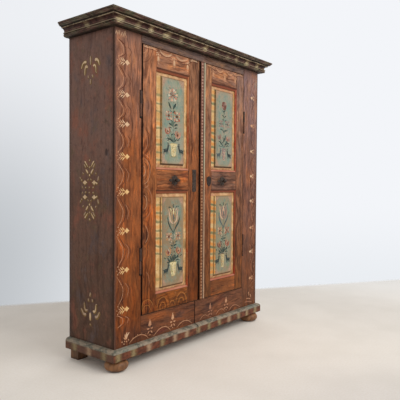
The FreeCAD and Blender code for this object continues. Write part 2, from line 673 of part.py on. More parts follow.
L_AXIS = "left_jamb_x - axis_in"
R_AXIS = "right_jamb_x + axis_in"
frame_halves, pins, door_halves = [], [], {"left": [], "right": []}
for level in ("up", "lo"):
    mid = "hinge_%s_z" % level
    low = mid + " - knuckle_gap/2 - knuckle_len"
    high = mid + " + knuckle_gap/2"
    frame_halves.append(frame_half("frame_hinge_left_" + level, L_AXIS, "left_jamb_x - leaf_thick", "left_jamb_x", low))
    frame_halves.append(frame_half("frame_hinge_right_" + level, R_AXIS, "right_jamb_x", "right_jamb_x + leaf_thick", low))
    door_halves["left"].append(door_half("door_hinge_left_" + level, L_AXIS, LEFT_X0, -1, high))
    door_halves["right"].append(door_half("door_hinge_right_" + level, R_AXIS, RIGHT_X1, 1, high))
    for tag, ax in (("left", L_AXIS), ("right", R_AXIS)):
        stem = cyl("pin_%s_%s_stem" % (tag, level), ax, "front_y", low + " - 2", "pin_r",
                   "2*knuckle_len + knuckle_gap - 6")
        head = cyl("pin_%s_%s_head" % (tag, level), ax, "front_y", low + " - 7", "barrel_r*0.8", "6")
        pins.append(fuse("pin_%s_%s" % (tag, level), [stem, head]))
node(group("frame_hinge_halves", frame_halves), "frame_hinge_halves")
node(group("hinge_pins", pins), "hinge_pins")
node(group("left_hinge_halves", door_halves["left"]), "left_hinge_halves")
node(group("right_hinge_halves", door_halves["right"]), "right_hinge_halves")


# ---------------------------------------------------------------- ironwork
def rosette(name, x):
    """Forged rosette: a lobed plate with a round knob at its middle."""
    b = new_body(name + "_plate")
    s = sketch(b, "XZ_Plane", name + "_disc")
    s.addGeometry(Part.Circle(V(0, 0, 0), V(0, 0, 1), P["rosette_r"]), False)
    c = s.addConstraint(Sketcher.Constraint("Radius", 0, P["rosette_r"]))
    s.setExpression("Constraints[%d]" % c, ex("rosette_r"))
    pad(b, s, "2.6")
    lobe = sketch(b, "XZ_Plane", name + "_lobe")
    lobe.addGeometry(Part.Circle(V(P["rosette_r"], 0, 0), V(0, 0, 1), 7.0), False)
    doc.recompute()
    lp = pad(b, lobe, "2.2")
    doc.recompute()
    pp = b.newObject("PartDesign::PolarPattern", name + "_lobes")
    pp.Originals = [lp]
    pp.Axis = (plane(b, "Y_Axis"), [""])
    pp.Angle = 360.0
    pp.Occurrences = 8
    b.Tip = pp
    doc.recompute()
    place(b, x, "front_y", "lock_z")
    # leaf-shaped ends to the left and right
    tips = [cyl("%s_tip_%s" % (name, t), "%s %s %s" % (x, s, off), "front_y", "lock_z", r, "2.2", "-y")
            for t, s, off, r in (("a", "-", "34", "9"), ("b", "-", "44", "5"), ("c", "+", "34", "9"), ("d", "+", "44", "5"))]
    collar = doc.addObject("Part::Cone", name + "_collar")
    collar.Radius1, collar.Radius2, collar.Height = 15.0, 6.5, 7.0
    collar.Placement = FreeCAD.Placement(V(0, 0, 0), FreeCAD.Rotation(V(1, 0, 0), 90))
    place(collar, x, "front_y - 2", "lock_z")
    neck = cyl(name + "_neck", x, "front_y - 2", "lock_z", "6.5", "16", "-y")
    ball = doc.addObject("Part::Sphere", name + "_ball")
    ball.setExpression("Radius", ex("knob_r"))
    place(ball, x, "front_y - 22", "lock_z")
    return node(fuse(name, [b, collar, neck, ball] + tips), name)


rosette("left_rosette", "knob_l_x")
rosette("right_rosette", "knob_r_x")

# Old iron plate nailed on the left meeting stile.
node(box("left_iron_plate", "bolt_x - 18", "bolt_x + 18", "front_y - 1.8", "front_y", "lock_z - 68", "lock_z + 66"),
     "left_iron_plate")

# Keyhole plate on the right meeting stile.
b = new_body("key_escutcheon")
s = sketch(b, "XZ_Plane", "escutcheon_outline")
outline(s, [("-20", "22"), ("-22", "-8", ("-24", "8")), ("0", "-36", ("-15", "-26")), ("22", "-8", ("15", "-26")),
            ("20", "22", ("24", "8")), ("0", "30", ("11", "24")), ("-20", "22", ("-11", "24"))][:6])
s.delGeometry(s.GeometryCount - 1)
s.addGeometry(Part.Arc(V(0, 30, 0), V(-11, 24, 0), V(-20, 22, 0)), False)
pad(b, s, "1.8")
doc.recompute()
k = sketch(b, "XZ_Plane", "escutcheon_keyhole")
k.addGeometry(Part.Arc(V(3.0, -2.5, 0), V(0, 10, 0), V(-3.0, -2.5, 0)), False)
k.addGeometry(Part.LineSegment(V(-3.0, -2.5, 0), V(-3.8, -16, 0)), False)
k.addGeometry(Part.LineSegment(V(-3.8, -16, 0), V(3.8, -16, 0)), False)
k.addGeometry(Part.LineSegment(V(3.8, -16, 0), V(3.0, -2.5, 0)), False)
pocket_all(b, k, False)
place(b, "key_x", "front_y", "lock_z")
node(b, "key_escutcheon")

# Box lock inside the right door, with its sliding bolt, and the keeper that
# the bolt enters on the left door.
case = box("lock_case_blank", "26", "152", D("door_thick"), D("door_thick + 22"), "lock_z - 40", "lock_z + 40")
channel = box("lock_case_channel", "25", "104", D("door_thick + 6"), D("door_thick + 15"), "lock_z - 7", "lock_z + 7")
node(cut("lock_case", case, [channel]), "lock_case")
node(box("lock_bolt", "21", "86", D("door_thick + 6 + bolt_play"), D("door_thick + 15 - bolt_play"),
         "lock_z - 7 + bolt_play", "lock_z + 7 - bolt_play"), "lock_bolt")
keep = box("lock_keeper_blank", "-30", "8", D("door_thick"), D("door_thick + 21"), "lock_z - 17", "lock_z + 17")
slot = box("lock_keeper_slot", "-31", "9", D("door_thick + 4.5"), D("door_thick + 16.5"), "lock_z - 9", "lock_z + 9")
node(cut("lock_keeper", keep, [slot]), "lock_keeper")


# Sliding bolts of the left door and the guides that carry them.
def slide_bolt(name, z0, z1, knob_z):
    bar = box(name + "_bar", "bolt_x - bolt_wide/2", "bolt_x + bolt_wide/2", D("door_thick + 5"),
              D("door_thick + 5 + bolt_thick"), z0, z1)
    knob = cyl(name + "_knob", "bolt_x", D("door_thick + 5 + bolt_thick - 1"), knob_z, "5", "15", "y")
    return node(fuse(name, [bar, knob]), name)


slide_bolt("left_top_bolt", "stop_low_z - 4 - bolt_len", "stop_low_z - 4", "stop_low_z - 124")
slide_bolt("left_bottom_bolt", "base_top_z + floor_thick + 4", "base_top_z + floor_thick + 4 + bolt_len",
           "base_top_z + floor_thick + 124")
guides = []
for k, z0 in enumerate(("stop_low_z - 60", "stop_low_z - 190", "base_top_z + floor_thick + 46",
                        "base_top_z + floor_thick + 176")):
    blank = box("bolt_guide_%d_blank" % k, "bolt_x - 17", "bolt_x + 17", D("door_thick"), D("door_thick + 14"),
                z0, z0 + " + 16")
    way = box("bolt_guide_%d_way" % k, "bolt_x - bolt_wide/2 - bolt_play", "bolt_x + bolt_wide/2 + bolt_play",
              D("door_thick + 5 - bolt_play"), D("door_thick + 5 + bolt_thick + bolt_play"),
              z0 + " - 1", z0 + " + 17")
    guides.append(cut("bolt_guide_%d" % k, blank, [way]))
node(group("bolt_guides", guides), "bolt_guides")

# ---------------------------------------------------------------- check, write
doc.recompute()
for obj in doc.Objects:
    if "Invalid" in obj.State or "Error" in obj.State:
        raise RuntimeError("%s (%s) failed: %s" % (obj.Name, obj.Label, obj.State))
labels = [p.Label for p in parts]
if len(labels) != len(set(labels)):
    raise RuntimeError("two sub-parts share a label")
for p in parts:
    shape = p.Shape
    if shape.isNull() or not shape.isValid() or shape.Volume <= 0 or not shape.Solids:
        raise RuntimeError("%s has no valid solid" % p.Label)

os.makedirs("parts", exist_ok=True)
whole = FreeCAD.BoundBox()
for p in parts:
    p.Shape.exportStep("parts/%s.step" % p.Label)
    whole.add(p.Shape.BoundBox)
    print("%-22s %2d solid(s) %12.1f mm3" % (p.Label, len(p.Shape.Solids), p.Shape.Volume))
print("%d sub-parts, box %.2f x %.2f x %.2f, low corner (%.2f, %.2f, %.2f)" % (
    len(parts), whole.XLength, whole.YLength, whole.ZLength, whole.XMin, whole.YMin, whole.ZMin))
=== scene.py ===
import math
import random

import bmesh
import bpy
from mathutils import Matrix, Vector


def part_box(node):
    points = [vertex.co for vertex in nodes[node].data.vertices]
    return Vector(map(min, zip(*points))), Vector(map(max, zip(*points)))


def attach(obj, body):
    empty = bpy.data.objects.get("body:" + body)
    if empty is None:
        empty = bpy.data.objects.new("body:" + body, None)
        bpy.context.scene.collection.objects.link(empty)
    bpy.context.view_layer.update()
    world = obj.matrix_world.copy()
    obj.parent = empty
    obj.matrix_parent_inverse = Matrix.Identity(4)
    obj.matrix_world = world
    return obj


# Painted two-door cupboard: looks for the CAD frame. Object coordinates of
# every piece are the rest frame in metres (+Z up, +X right, +Y back).

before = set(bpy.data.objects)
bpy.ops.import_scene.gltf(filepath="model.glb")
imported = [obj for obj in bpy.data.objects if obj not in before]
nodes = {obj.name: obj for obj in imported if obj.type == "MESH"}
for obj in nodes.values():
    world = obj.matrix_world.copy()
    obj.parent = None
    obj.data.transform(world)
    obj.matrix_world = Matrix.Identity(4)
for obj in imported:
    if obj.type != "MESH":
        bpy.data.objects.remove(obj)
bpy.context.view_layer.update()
rng = random.Random(1807)

FY = -0.1485          # front face of carcass and doors
FIELD_Y = FY + 0.0015  # raised fields of the door panels
SIDE_X = 0.675
L_OPEN = (-0.362, -0.092)
R_OPEN = (0.142, 0.408)
LOW_OPEN = (0.372, 0.928)
UP_OPEN = (1.074, 1.609)
TAU = 2 * math.pi


# ------------------------------------------------------------------ shader kit

def lin(r, g, b, gain=1.0):
    def f(c):
        c = max(c, 0.0) / 255.0
        return (c / 12.92 if c <= 0.04045 else ((c + 0.055) / 1.055) ** 2.4) * gain
    return (f(r), f(g), f(b), 1.0)


class F:
    """A float socket that can be computed with."""

    def __init__(self, m, s):
        self.m, self.s = m, s

    def __add__(self, o):
        return self.m.math("ADD", self, o)

    __radd__ = __add__

    def __sub__(self, o):
        return self.m.math("SUBTRACT", self, o)

    def __rsub__(self, o):
        return self.m.math("SUBTRACT", o, self)

    def __mul__(self, o):
        return self.m.math("MULTIPLY", self, o)

    __rmul__ = __mul__

    def __truediv__(self, o):
        return self.m.math("DIVIDE", self, o)

    def __neg__(self):
        return self.m.math("MULTIPLY", self, -1.0)


class Mat:
    """A procedural material; c() gives its colours, scaled by its gain."""

    def __init__(self, name, gain=1.0):
        self.gain = gain
        self.m = bpy.data.materials.new(name)
        self.m.use_nodes = True
        self.nt = self.m.node_tree
        self.nt.nodes.clear()
        out = self.new("ShaderNodeOutputMaterial")
        self.bsdf = self.new("ShaderNodeBsdfPrincipled")
        self.nt.links.new(self.bsdf.outputs[0], out.inputs[0])
        tc = self.new("ShaderNodeTexCoord")
        self.pos = tc.outputs["Object"]
        self.x, self.y, self.z = self.split(self.pos)
        self.nx, self.ny, self.nz = self.split(tc.outputs["Normal"])

    def c(self, r, g, b):
        return lin(r, g, b, self.gain)

    def new(self, kind):
        return self.nt.nodes.new(kind)

    def split(self, sock):
        n = self.new("ShaderNodeSeparateXYZ")
        self.nt.links.new(sock, n.inputs[0])
        return [F(self, o) for o in n.outputs]

    def put(self, v, sock):
        if isinstance(v, F):
            self.nt.links.new(v.s, sock)
        elif isinstance(v, bpy.types.NodeSocket):
            self.nt.links.new(v, sock)
        else:
            sock.default_value = v

    def math(self, op, a, b=None, c=None):
        n = self.new("ShaderNodeMath")
        n.operation = op
        for i, v in enumerate((a, b, c)):
            if v is not None:
                self.put(v, n.inputs[i])
        return F(self, n.outputs[0])

    def min(self, a, b):
        return self.math("MINIMUM", a, b)

    def max(self, a, b):
        return self.math("MAXIMUM", a, b)

    def abs(self, a):
        return self.math("ABSOLUTE", a)

    def fract(self, a):
        return self.math("FRACT", a)

    def floor(self, a):
        return self.math("FLOOR", a)

    def sin(self, a):
        return self.math("SINE", a)

    def sqrt(self, a):
        return self.math("SQRT", a)

    def vec(self, x, y, z):
        n = self.new("ShaderNodeCombineXYZ")
        for i, v in enumerate((x, y, z)):
            self.put(v, n.inputs[i])
        return n.outputs[0]

    def step(self, a, b, v):
        """0 below a, 1 above b, smooth between (a < b)."""
        n = self.new("ShaderNodeMapRange")
        n.interpolation_type = "SMOOTHSTEP"
        self.put(v, n.inputs[0])
        self.put(a, n.inputs[1])
        self.put(b, n.inputs[2])
        return F(self, n.outputs[0])

    def band(self, lo, hi, soft, v):
        return self.step(lo - soft, lo + soft, v) * (1.0 - self.step(hi - soft, hi + soft, v))

    def noise(self, vec, scale=1.0, detail=3.0, rough=0.5, dist=0.0):
        n = self.new("ShaderNodeTexNoise")
        self.put(vec, n.inputs["Vector"])
        n.inputs["Scale"].default_value = scale
        n.inputs["Detail"].default_value = detail
        n.inputs["Roughness"].default_value = rough
        n.inputs["Distortion"].default_value = dist
        return F(self, n.outputs[0])

    def cells(self, vec, scale=1.0):
        """Distance to the nearest of scattered points, and a random value per point."""
        n = self.new("ShaderNodeTexVoronoi")
        self.put(vec, n.inputs["Vector"])
        n.inputs["Scale"].default_value = scale
        r, _, _ = self.split(n.outputs["Color"])
        return F(self, n.outputs["Distance"]), r

    def mix(self, f, a, b, blend="MIX"):
        n = self.new("ShaderNodeMix")
        n.data_type = "RGBA"
        n.blend_type = blend
        self.put(f, n.inputs[0])
        self.put(a, n.inputs[6])
        self.put(b, n.inputs[7])
        return n.outputs[2]

    def glaze(self, f, col, r, g, b):
        """A transparent coat: col times the factors r, g, b where f is 1."""
        return self.mix(f, col, (r, g, b, 1.0), "MULTIPLY")

    def bump(self, height, distance, strength=1.0):
        n = self.new("ShaderNodeBump")
        n.inputs["Strength"].default_value = strength
        n.inputs["Distance"].default_value = distance
        self.put(height, n.inputs["Height"])
        return n.outputs[0]

    def done(self, col, rough, normal=None, metal=0.0, spec=0.3, coat=0.0, coat_rough=0.25):
        b = self.bsdf.inputs
        self.put(col, b["Base Color"])
        self.put(rough, b["Roughness"])
        b["Metallic"].default_value = metal
        b["Specular IOR Level"].default_value = spec
        b["Coat Weight"].default_value = coat
        b["Coat Roughness"].default_value = coat_rough
        if normal is not None:
            self.put(normal, b["Normal"])
        return self.m


# ------------------------------------------------------------------- materials

FRONT, SIDE, PANEL, TRIM, BASE = 0.92, 1.45, 0.95, 0.95, 1.0


def wood_layers(m, along, across, other, light, mid, dark):
    """Bare aged softwood: growth lines, pores, knots and dirt."""
    warp = m.noise(m.vec(across * 5.0, along * 1.6, other * 5.0), 1.0, 2.0) - 0.5
    u = across + warp * 0.035
    rings = m.noise(m.vec(u * 46.0, along * 1.1, other * 46.0), 1.0, 3.0, 0.55)
    fine = m.noise(m.vec(u * 330.0, along * 7.0, other * 330.0), 1.0, 3.0, 0.6)
    blot = m.noise(m.vec(across * 4.0, along * 2.2, other * 4.0), 1.0, 5.0, 0.6)
    kd, kr = m.cells(m.vec(across * 4.2, along * 1.5, other * 2.0), 1.0)
    knot = (1.0 - m.step(0.02, 0.085, kd)) * m.step(0.55, 0.6, kr)
    halo = (1.0 - m.step(0.06, 0.2, kd)) * m.step(0.55, 0.6, kr)
    col = m.mix(m.step(0.36, 0.66, rings), mid, light)
    col = m.mix(m.step(0.5, 0.8, fine) * 0.5, col, dark)
    col = m.mix(m.step(0.42, 0.75, blot) * 0.55, col, dark)
    col = m.mix(halo * 0.45, col, dark)
    col = m.mix(knot * 0.9, col, lin(58, 34, 20))
    height = fine * 0.35 + rings * 0.45 - knot * 0.3
    return col, height, blot


def bare_wood(name, along, across, other, light=(176, 138, 96), mid=(148, 110, 74), dark=(98, 70, 46), seams=()):
    """seams are joints between boards: (place across the grain, tone of the next board)."""
    m = Mat(name)
    ax = {"x": m.x, "y": m.y, "z": m.z}
    col, height, blot = wood_layers(m, ax[along], ax[across], ax[other], lin(*light), lin(*mid), lin(*dark))
    dust = m.noise(m.pos, 55.0, 4.0, 0.65)
    col = m.mix(m.step(0.55, 0.8, dust) * 0.25, col, lin(176, 160, 138))
    for place, tone in seams:
        v = ax[across]
        col = m.glaze(m.step(place - 0.0004, place + 0.0004, v), col, tone, tone, tone * 0.98)
        soil = 1.0 - m.step(0.0, 0.016, m.abs(v - place) + (dust - 0.5) * 0.02)
        col = m.glaze(soil * 0.55, col, 0.55, 0.52, 0.5)
        col = m.mix((1.0 - m.step(0.0008, 0.0026, m.abs(v - place))) * 0.9, col, lin(34, 26, 20))
    return m.done(col, 0.62 + (blot - 0.5) * 0.25, m.bump(height, 0.0012, 0.6), spec=0.25)


def worm_holes(m, col, amount=0.62):
    """Scattered tiny dark flight holes."""
    d, r = m.cells(m.pos, 26.0)
    hole = (1.0 - m.step(0.028, 0.05, d)) * m.step(amount, amount + 0.02, r)
    return m.mix(hole * 0.85, col, lin(34, 22, 16)), hole


def frame_paint(node, grain, up, mid, low, seed, opening=None, figure=0.6, fans=(), spots=(), outer=None, gap_shade_and_seams=(), reveal=((204, 134, 91), (171, 103, 59)), gain=FRONT):
    """Grained paint of the front boards. Faces that look inwards are bare wood.

    up, mid and low are the ground colours by height, the paint's own tone
    together with painted shading that darkens towards the foot; fans are centres of
    combed arcs (x, z, radius); spots are tinted patches (x, z, half width, half height,
    colour, strength); gaps are painted shade beside the doors and dark seams where
    boards split (x, half width); reveal is the chamfer's colour high and low."""
    m = Mat("paint_" + node, gain)
    lo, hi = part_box(node)
    x, y, z = m.x, m.y, m.z
    a, b = (z, x) if grain == "v" else (x, z)
    wander = m.noise(m.vec(b * 6.0, a * 2.6, seed + y * 5.0), 1.0, 3.0, 0.5)
    ripple = m.noise(m.vec(b * 11.0, a * 13.0, seed + 61.0), 1.0, 2.0, 0.5)
    u = b + (wander - 0.5) * 0.085 + (ripple - 0.5) * 0.022
    streak = m.noise(m.vec(u * 58.0, a * 3.4, seed + y * 58.0), 1.0, 3.0, 0.6)
    comb = m.noise(m.vec(u * 125.0, a * 6.5, seed + 3.0 + y * 125.0), 1.0, 2.0, 0.55)
    fine = m.noise(m.vec(u * 340.0, a * 13.0, seed + y * 340.0), 1.0, 2.0, 0.6)
    fleck = m.noise(m.vec(u * 104.0, a * 9.0, seed + 2.0), 1.0, 2.0, 0.5)
    blot = m.noise(m.vec(x * 7.0, z * 5.0, seed + 9.0 + y * 6.0), 1.0, 4.0, 0.6)
    mott = m.noise(m.vec(u * 48.0, a * 15.0, seed + y * 20.0), 1.0, 4.0, 0.65)
    grit = m.noise(m.vec(x * 135.0, z * 95.0, seed + 13.0), 1.0, 2.0, 0.6)
    hue = m.noise(m.vec(u * 21.0, a * 6.5, seed + 33.0), 1.0, 3.0, 0.55)
    zz = z + (blot - 0.5) * 0.3
    # ground colour by height: the paint's tone together with painted shading, darker towards the foot
    col = m.mix(m.step(0.28, 1.0, zz), m.c(*low), m.c(*mid))
    col = m.mix(m.step(1.0, 1.6, zz), col, m.c(*up))
    for cx, cz, rx, rz, tint, k in spots:
        dx, dz = (x - cx) / rx, (z - cz) / rz
        d = m.sqrt(dx * dx + dz * dz) + (mott - 0.5) * 0.9 + (blot - 0.5) * 0.8
        col = m.mix((1.0 - m.step(0.35, 1.05, d)) * k, col, m.c(*tint))
    # cloudy ground of several close browns
    col = m.glaze(m.step(0.5, 0.72, blot) * 0.6, col, 1.36, 1.20, 1.00)
    col = m.glaze((1.0 - m.step(0.3, 0.5, blot)) * 0.6, col, 0.64, 0.62, 0.64)
    col = m.glaze(m.step(0.52, 0.68, hue) * 0.75, col, 1.32, 1.18, 0.86)
    col = m.glaze((1.0 - m.step(0.34, 0.47, hue)) * 0.75, col, 0.72, 0.80, 0.96)
    # drawn figure: wavy light and dark lines, contours of stretched noise
    where = m.step(0.36, 0.58, m.noise(m.vec(x * 5.4, z * 3.6, seed + 21.0), 1.0, 2.0)) * figure
    w1 = m.noise(m.vec(u * 25.0, a * 5.2, seed + 31.0), 1.0, 1.5, 0.5)
    w2 = m.noise(m.vec(u * 27.0, a * 5.0, seed + 47.0), 1.0, 1.5, 0.5)
    col = m.glaze(where * (1.0 - m.step(0.02, 0.085, m.abs(w2 - 0.48))) * 0.9, col, 0.46, 0.38, 0.35)
    col = m.glaze(where * (1.0 - m.step(0.015, 0.07, m.abs(w1 - 0.51))) * 0.8, col, 1.55, 1.42, 1.26)
    # streaks, flecks and bristle marks of the comb
    col = m.glaze(m.step(0.52, 0.70, streak) * 0.85, col, 0.48, 0.40, 0.37)
    col = m.glaze((1.0 - m.step(0.28, 0.45, streak)) * 0.75, col, 1.52, 1.32, 1.08)
    col = m.glaze(m.step(0.54, 0.70, comb) * 0.6, col, 0.55, 0.48, 0.45)
    col = m.glaze((1.0 - m.step(0.28, 0.44, comb)) * 0.5, col, 1.42, 1.28, 1.12)
    col = m.glaze(m.step(0.58, 0.68, fleck) * 0.8, col, 0.44, 0.36, 0.33)
    col = m.glaze((1.0 - m.step(0.27, 0.39, fleck)) * 0.75, col, 1.65, 1.45, 1.2)
    col = m.glaze(m.step(0.52, 0.8, fine) * 0.35, col, 0.62, 0.56, 0.54)
    col = m.glaze(m.step(0.53, 0.70, mott) * 0.65, col, 1.42, 1.34, 1.24)
    col = m.glaze((1.0 - m.step(0.30, 0.47, mott)) * 0.7, col, 0.55, 0.49, 0.47)
    col = m.glaze(m.step(0.57, 0.72, grit) * 0.5, col, 1.45, 1.38, 1.32)
    col = m.glaze((1.0 - m.step(0.28, 0.42, grit)) * 0.5, col, 0.56, 0.50, 0.50)
    # combed arcs of the graining
    for cx, cz, rad in fans:
        dx, dz = x - cx, (z - cz) * 0.72
        d = m.sqrt(dx * dx + dz * dz) + (mott - 0.5) * 0.016 + (blot - 0.5) * 0.06
        ring = m.sin(d * (TAU / 0.027))
        inside = (1.0 - m.step(rad * 0.75, rad, d)) * m.step(0.30, 0.56, fleck + (hue - 0.5) * 0.8)
        col = m.glaze(inside * m.step(0.0, 0.8, ring) * 0.7, col, 0.50, 0.43, 0.40)
        col = m.glaze(inside * m.step(0.3, 0.9, -ring) * 0.6, col, 1.36, 1.26, 1.12)
    if outer:
        e = x + SIDE_X if outer == "left" else SIDE_X - x
        edge = 1.0 - m.step(0.002, 0.018, e + (mott - 0.5) * 0.02)
        col = m.mix(edge * 0.75, col, m.c(92, 70, 64))
        col = m.glaze((1.0 - m.step(0.0, 0.008, e + (fine - 0.5) * 0.01)) * 0.6, col, 0.55, 0.55, 0.58)
        # painted shade of the cornice on the top of the stile
        col = m.mix(m.step(1.69, 1.775, z + (blot - 0.5) * 0.10) * 0.65, col, m.c(112, 82, 72))
    # rubbed patches, scratches and flight holes
    rub = m.noise(m.vec(x * 62.0, z * 44.0, seed + 5.0), 1.0, 5.0, 0.7)
    col = m.mix(m.step(0.63, 0.80, rub) * 0.5, col, m.c(196, 142, 102))
    scr = m.noise(m.vec(x * 18.0 + z * 31.0, z * 240.0 - x * 190.0, seed), 1.0, 2.0, 0.5)
    col = m.mix(m.step(0.70, 0.76, scr) * 0.4, col, m.c(178, 128, 92))
    col, hole = worm_holes(m, col)
    # dirty seams and worn arrises
    edge = m.min(m.min(x - lo.x, hi.x - x), m.min(z - lo.z, hi.z - z))
    col = m.glaze((1.0 - m.step(0.0, 0.011, edge + (rub - 0.5) * 0.012)) * 0.45, col, 0.52, 0.46, 0.45)
    worn = (1.0 - m.step(0.0003, 0.0026, edge + (fine - 0.5) * 0.007)) * 0.55
    col = m.mix(worn, col, m.c(142, 98, 70))
    # painted shade beside the doors, and dark seams where boards split
    for gx, gw in gap_shade_and_seams:
        dark = 1.0 - m.step(gw * 0.35, gw, m.abs(x - gx) + (rub - 0.5) * gw * 0.9)
        col = m.mix(dark * 0.92, col, m.c(40, 21, 13))
    depth = y - FY
    away = 1.0
    if opening:
        red = m.band(opening[0] - 0.0088, opening[1] + 0.0088, 0.0006, x) * m.max(
            m.band(LOW_OPEN[0] - 0.0135, LOW_OPEN[1] + 0.0215, 0.0006, z),
            m.band(UP_OPEN[0] - 0.0135, UP_OPEN[1] + 0.0215, 0.0006, z))
        tint = m.mix(m.step(0.4, 1.5, z), m.c(*reveal[1]), m.c(*reveal[0]))
        tint = m.mix(m.step(0.48, 0.66, m.noise(m.vec(x * 3.0, z * 11.0, seed + 40.0), 1.0, 3.0)) * 0.7, tint, m.c(168, 66, 40))
        tint = m.glaze((1.0 - m.step(0.34, 0.54, mott)) * 0.6, tint, 0.60, 0.54, 0.50)
        tint = m.mix(m.step(0.52, 0.76, rub) * 0.5, tint, m.c(204, 138, 96))
        # painted light on the chamfer: faces looking up are lighter, faces looking down are in painted shade, darkest
        # at the front, and faces looking to +X are painted darker
        tint = m.mix(m.step(0.2, 0.45, m.nz) * 0.85, tint, m.mix(m.step(0.36, 0.7, blot), m.c(182, 112, 88), m.c(208, 146, 120)))
        tint = m.mix(m.step(0.1, 0.3, -m.nz) * 0.9, tint, m.mix(m.step(0.001, 0.0055, depth + (mott - 0.5) * 0.004), m.c(60, 35, 27), m.c(136, 74, 50)))
        tint = m.mix(m.step(0.3, 0.6, m.nx) * 0.7, tint, m.c(112, 66, 42))
        col = m.mix(red * m.step(0.0003, 0.0012, depth), col, tint)
        # dark line where the paint of the face stops
        rim = (1.0 - m.step(0.0004, 0.0026, m.abs(depth - 0.0002))) * red
        col = m.mix(rim * 0.55, col, m.c(70, 38, 27))
        away = 1.0 - red
    # the boards' side faces are painted dark as shade and dirt in the gaps, the inner side is bare wood
    turn = m.step(0.55, 0.9, m.abs(m.nx) + m.abs(m.nz))
    col = m.mix(turn * away * 0.85, col, m.c(38, 24, 18))
    inner = m.step(0.3, 0.7, m.ny)
    wood, wh, _ = wood_layers(m, a, b, y, lin(168, 128, 88), lin(138, 100, 66), lin(92, 64, 42))
    col = m.mix(inner, col, wood)
    height = streak * 0.4 + comb * 0.3 + mott * 0.5 - fleck * 0.2 - hole * 0.9
    rough = 0.55 + (mott - 0.5) * 0.30 + inner * 0.12
    return m.done(col, rough, m.bump(height, 0.0012, 0.6), spec=0.13)


def side_paint(name):
    m = Mat(name, SIDE)
    x, y, z = m.x, m.y, m.z
    wander = m.noise(m.vec(y * 5.0, z * 2.0, x), 1.0, 3.0)
    u = y + (wander - 0.5) * 0.04
    streak = m.noise(m.vec(u * 60.0, z * 3.4, x * 3.0), 1.0, 3.0, 0.6)
    fine = m.noise(m.vec(u * 360.0, z * 10.0, x * 9.0), 1.0, 2.0, 0.6)
    fleck = m.noise(m.vec(u * 95.0, z * 20.0, x + 2.0), 1.0, 2.0, 0.5)
    blot = m.noise(m.vec(u * 7.0, z * 4.0, x + 4.0), 1.0, 5.0, 0.6)
    warm = m.noise(m.vec(u * 10.0, z * 6.0, x + 11.0), 1.0, 4.0, 0.65)
    mott = m.noise(m.vec(y * 44.0, z * 31.0, x), 1.0, 4.0, 0.65)
    zz = z + (blot - 0.5) * 0.3
    col = m.mix(m.step(0.15, 0.75, zz), m.c(71, 51, 40), m.c(88, 64, 53))
    col = m.mix(m.step(0.75, 1.4, zz), col, m.c(101, 76, 67))
    grit = m.noise(m.vec(y * 120.0, z * 85.0, x + 6.0), 1.0, 2.0, 0.6)
    col = m.mix(m.step(0.52, 0.70, warm) * 0.65, col, m.c(114, 70, 55))
    col = m.mix((1.0 - m.step(0.3, 0.48, warm)) * 0.65, col, m.c(80, 70, 70))
    moss = m.noise(m.vec(u * 15.0, z * 9.0, x + 17.0), 1.0, 4.0, 0.65)
    col = m.mix(m.step(0.55, 0.72, moss) * 0.55, col, m.c(84, 70, 50))
    ky, kz = (y + 0.086) / 0.013, (z - 1.142) / 0.026
    knot = (1.0 - m.step(0.4, 1.1, m.sqrt(ky * ky + kz * kz) + (mott - 0.5) * 0.8)) * (1.0 - m.step(-0.1, 0.1, x))
    col = m.mix(knot * 0.75, col, m.c(44, 33, 31))
    col = m.glaze(m.step(0.57, 0.72, grit) * 0.45, col, 1.5, 1.42, 1.36)
    col = m.glaze((1.0 - m.step(0.28, 0.42, grit)) * 0.45, col, 0.56, 0.54, 0.55)
    col = m.glaze((1.0 - m.step(0.3, 0.5, blot)) * 0.5, col, 0.66, 0.64, 0.66)
    line = m.sin((wander * 7.0 + y * 24.0) * TAU)
    where = m.step(0.45, 0.65, m.noise(m.vec(y * 5.0, z * 2.6, x + 21.0), 1.0, 2.0))
    col = m.glaze(where * m.step(0.2, 0.95, line) * 0.6, col, 0.60, 0.55, 0.54)
    col = m.glaze(m.step(0.50, 0.74, streak) * 0.55, col, 0.62, 0.57, 0.56)
    col = m.glaze((1.0 - m.step(0.26, 0.44, streak)) * 0.45, col, 1.35, 1.25, 1.16)
    col = m.glaze(m.step(0.60, 0.72, fleck) * 0.5, col, 0.5, 0.46, 0.46)
    col = m.glaze(m.step(0.54, 0.74, mott) * 0.6, col, 1.46, 1.36, 1.26)
    col = m.glaze((1.0 - m.step(0.28, 0.47, mott)) * 0.65, col, 0.54, 0.52, 0.54)
    front = 1.0 - m.step(-0.140, -0.112, y + (mott - 0.5) * 0.03)
    col = m.glaze(front * 0.45, col, 0.66, 0.58, 0.55)
    back = m.step(0.19, 0.222, y + (mott - 0.5) * 0.05)
    col = m.mix(back * 0.5, col, m.c(62, 52, 50))
    rub = m.noise(m.vec(y * 70.0, z * 55.0, x), 1.0, 5.0, 0.7)
    col = m.mix(m.step(0.68, 0.84, rub) * 0.45, col, m.c(142, 108, 86))
    scr = m.noise(m.vec(y * 24.0 + z * 22.0, z * 210.0 - y * 160.0, x), 1.0, 2.0, 0.5)
    col = m.mix(m.step(0.7, 0.76, scr) * 0.35, col, m.c(134, 100, 78))
    col, hole = worm_holes(m, col, 0.6)
    edge = m.min(m.min(y - FY - 0.012, 0.2235 - y), m.min(z - 0.12, 1.777 - z)) + (rub - 0.5) * 0.012
    col = m.glaze((1.0 - m.step(0.0, 0.014, edge)) * 0.6, col, 0.5, 0.46, 0.46)
    outside = m.step(0.3, 0.7, m.abs(m.nx) * m.step(-0.2, 0.2, m.nx * x))
    wood, wh, _ = wood_layers(m, z, y, x, lin(168, 128, 88), lin(138, 100, 66), lin(92, 64, 42))
    col = m.mix(1.0 - outside, col, wood)
    height = streak * 0.45 + fine * 0.3 + mott * 0.5 - hole * 0.9
    return m.done(col, 0.55 + (mott - 0.5) * 0.3, m.bump(height, 0.0012, 0.6), spec=0.13)


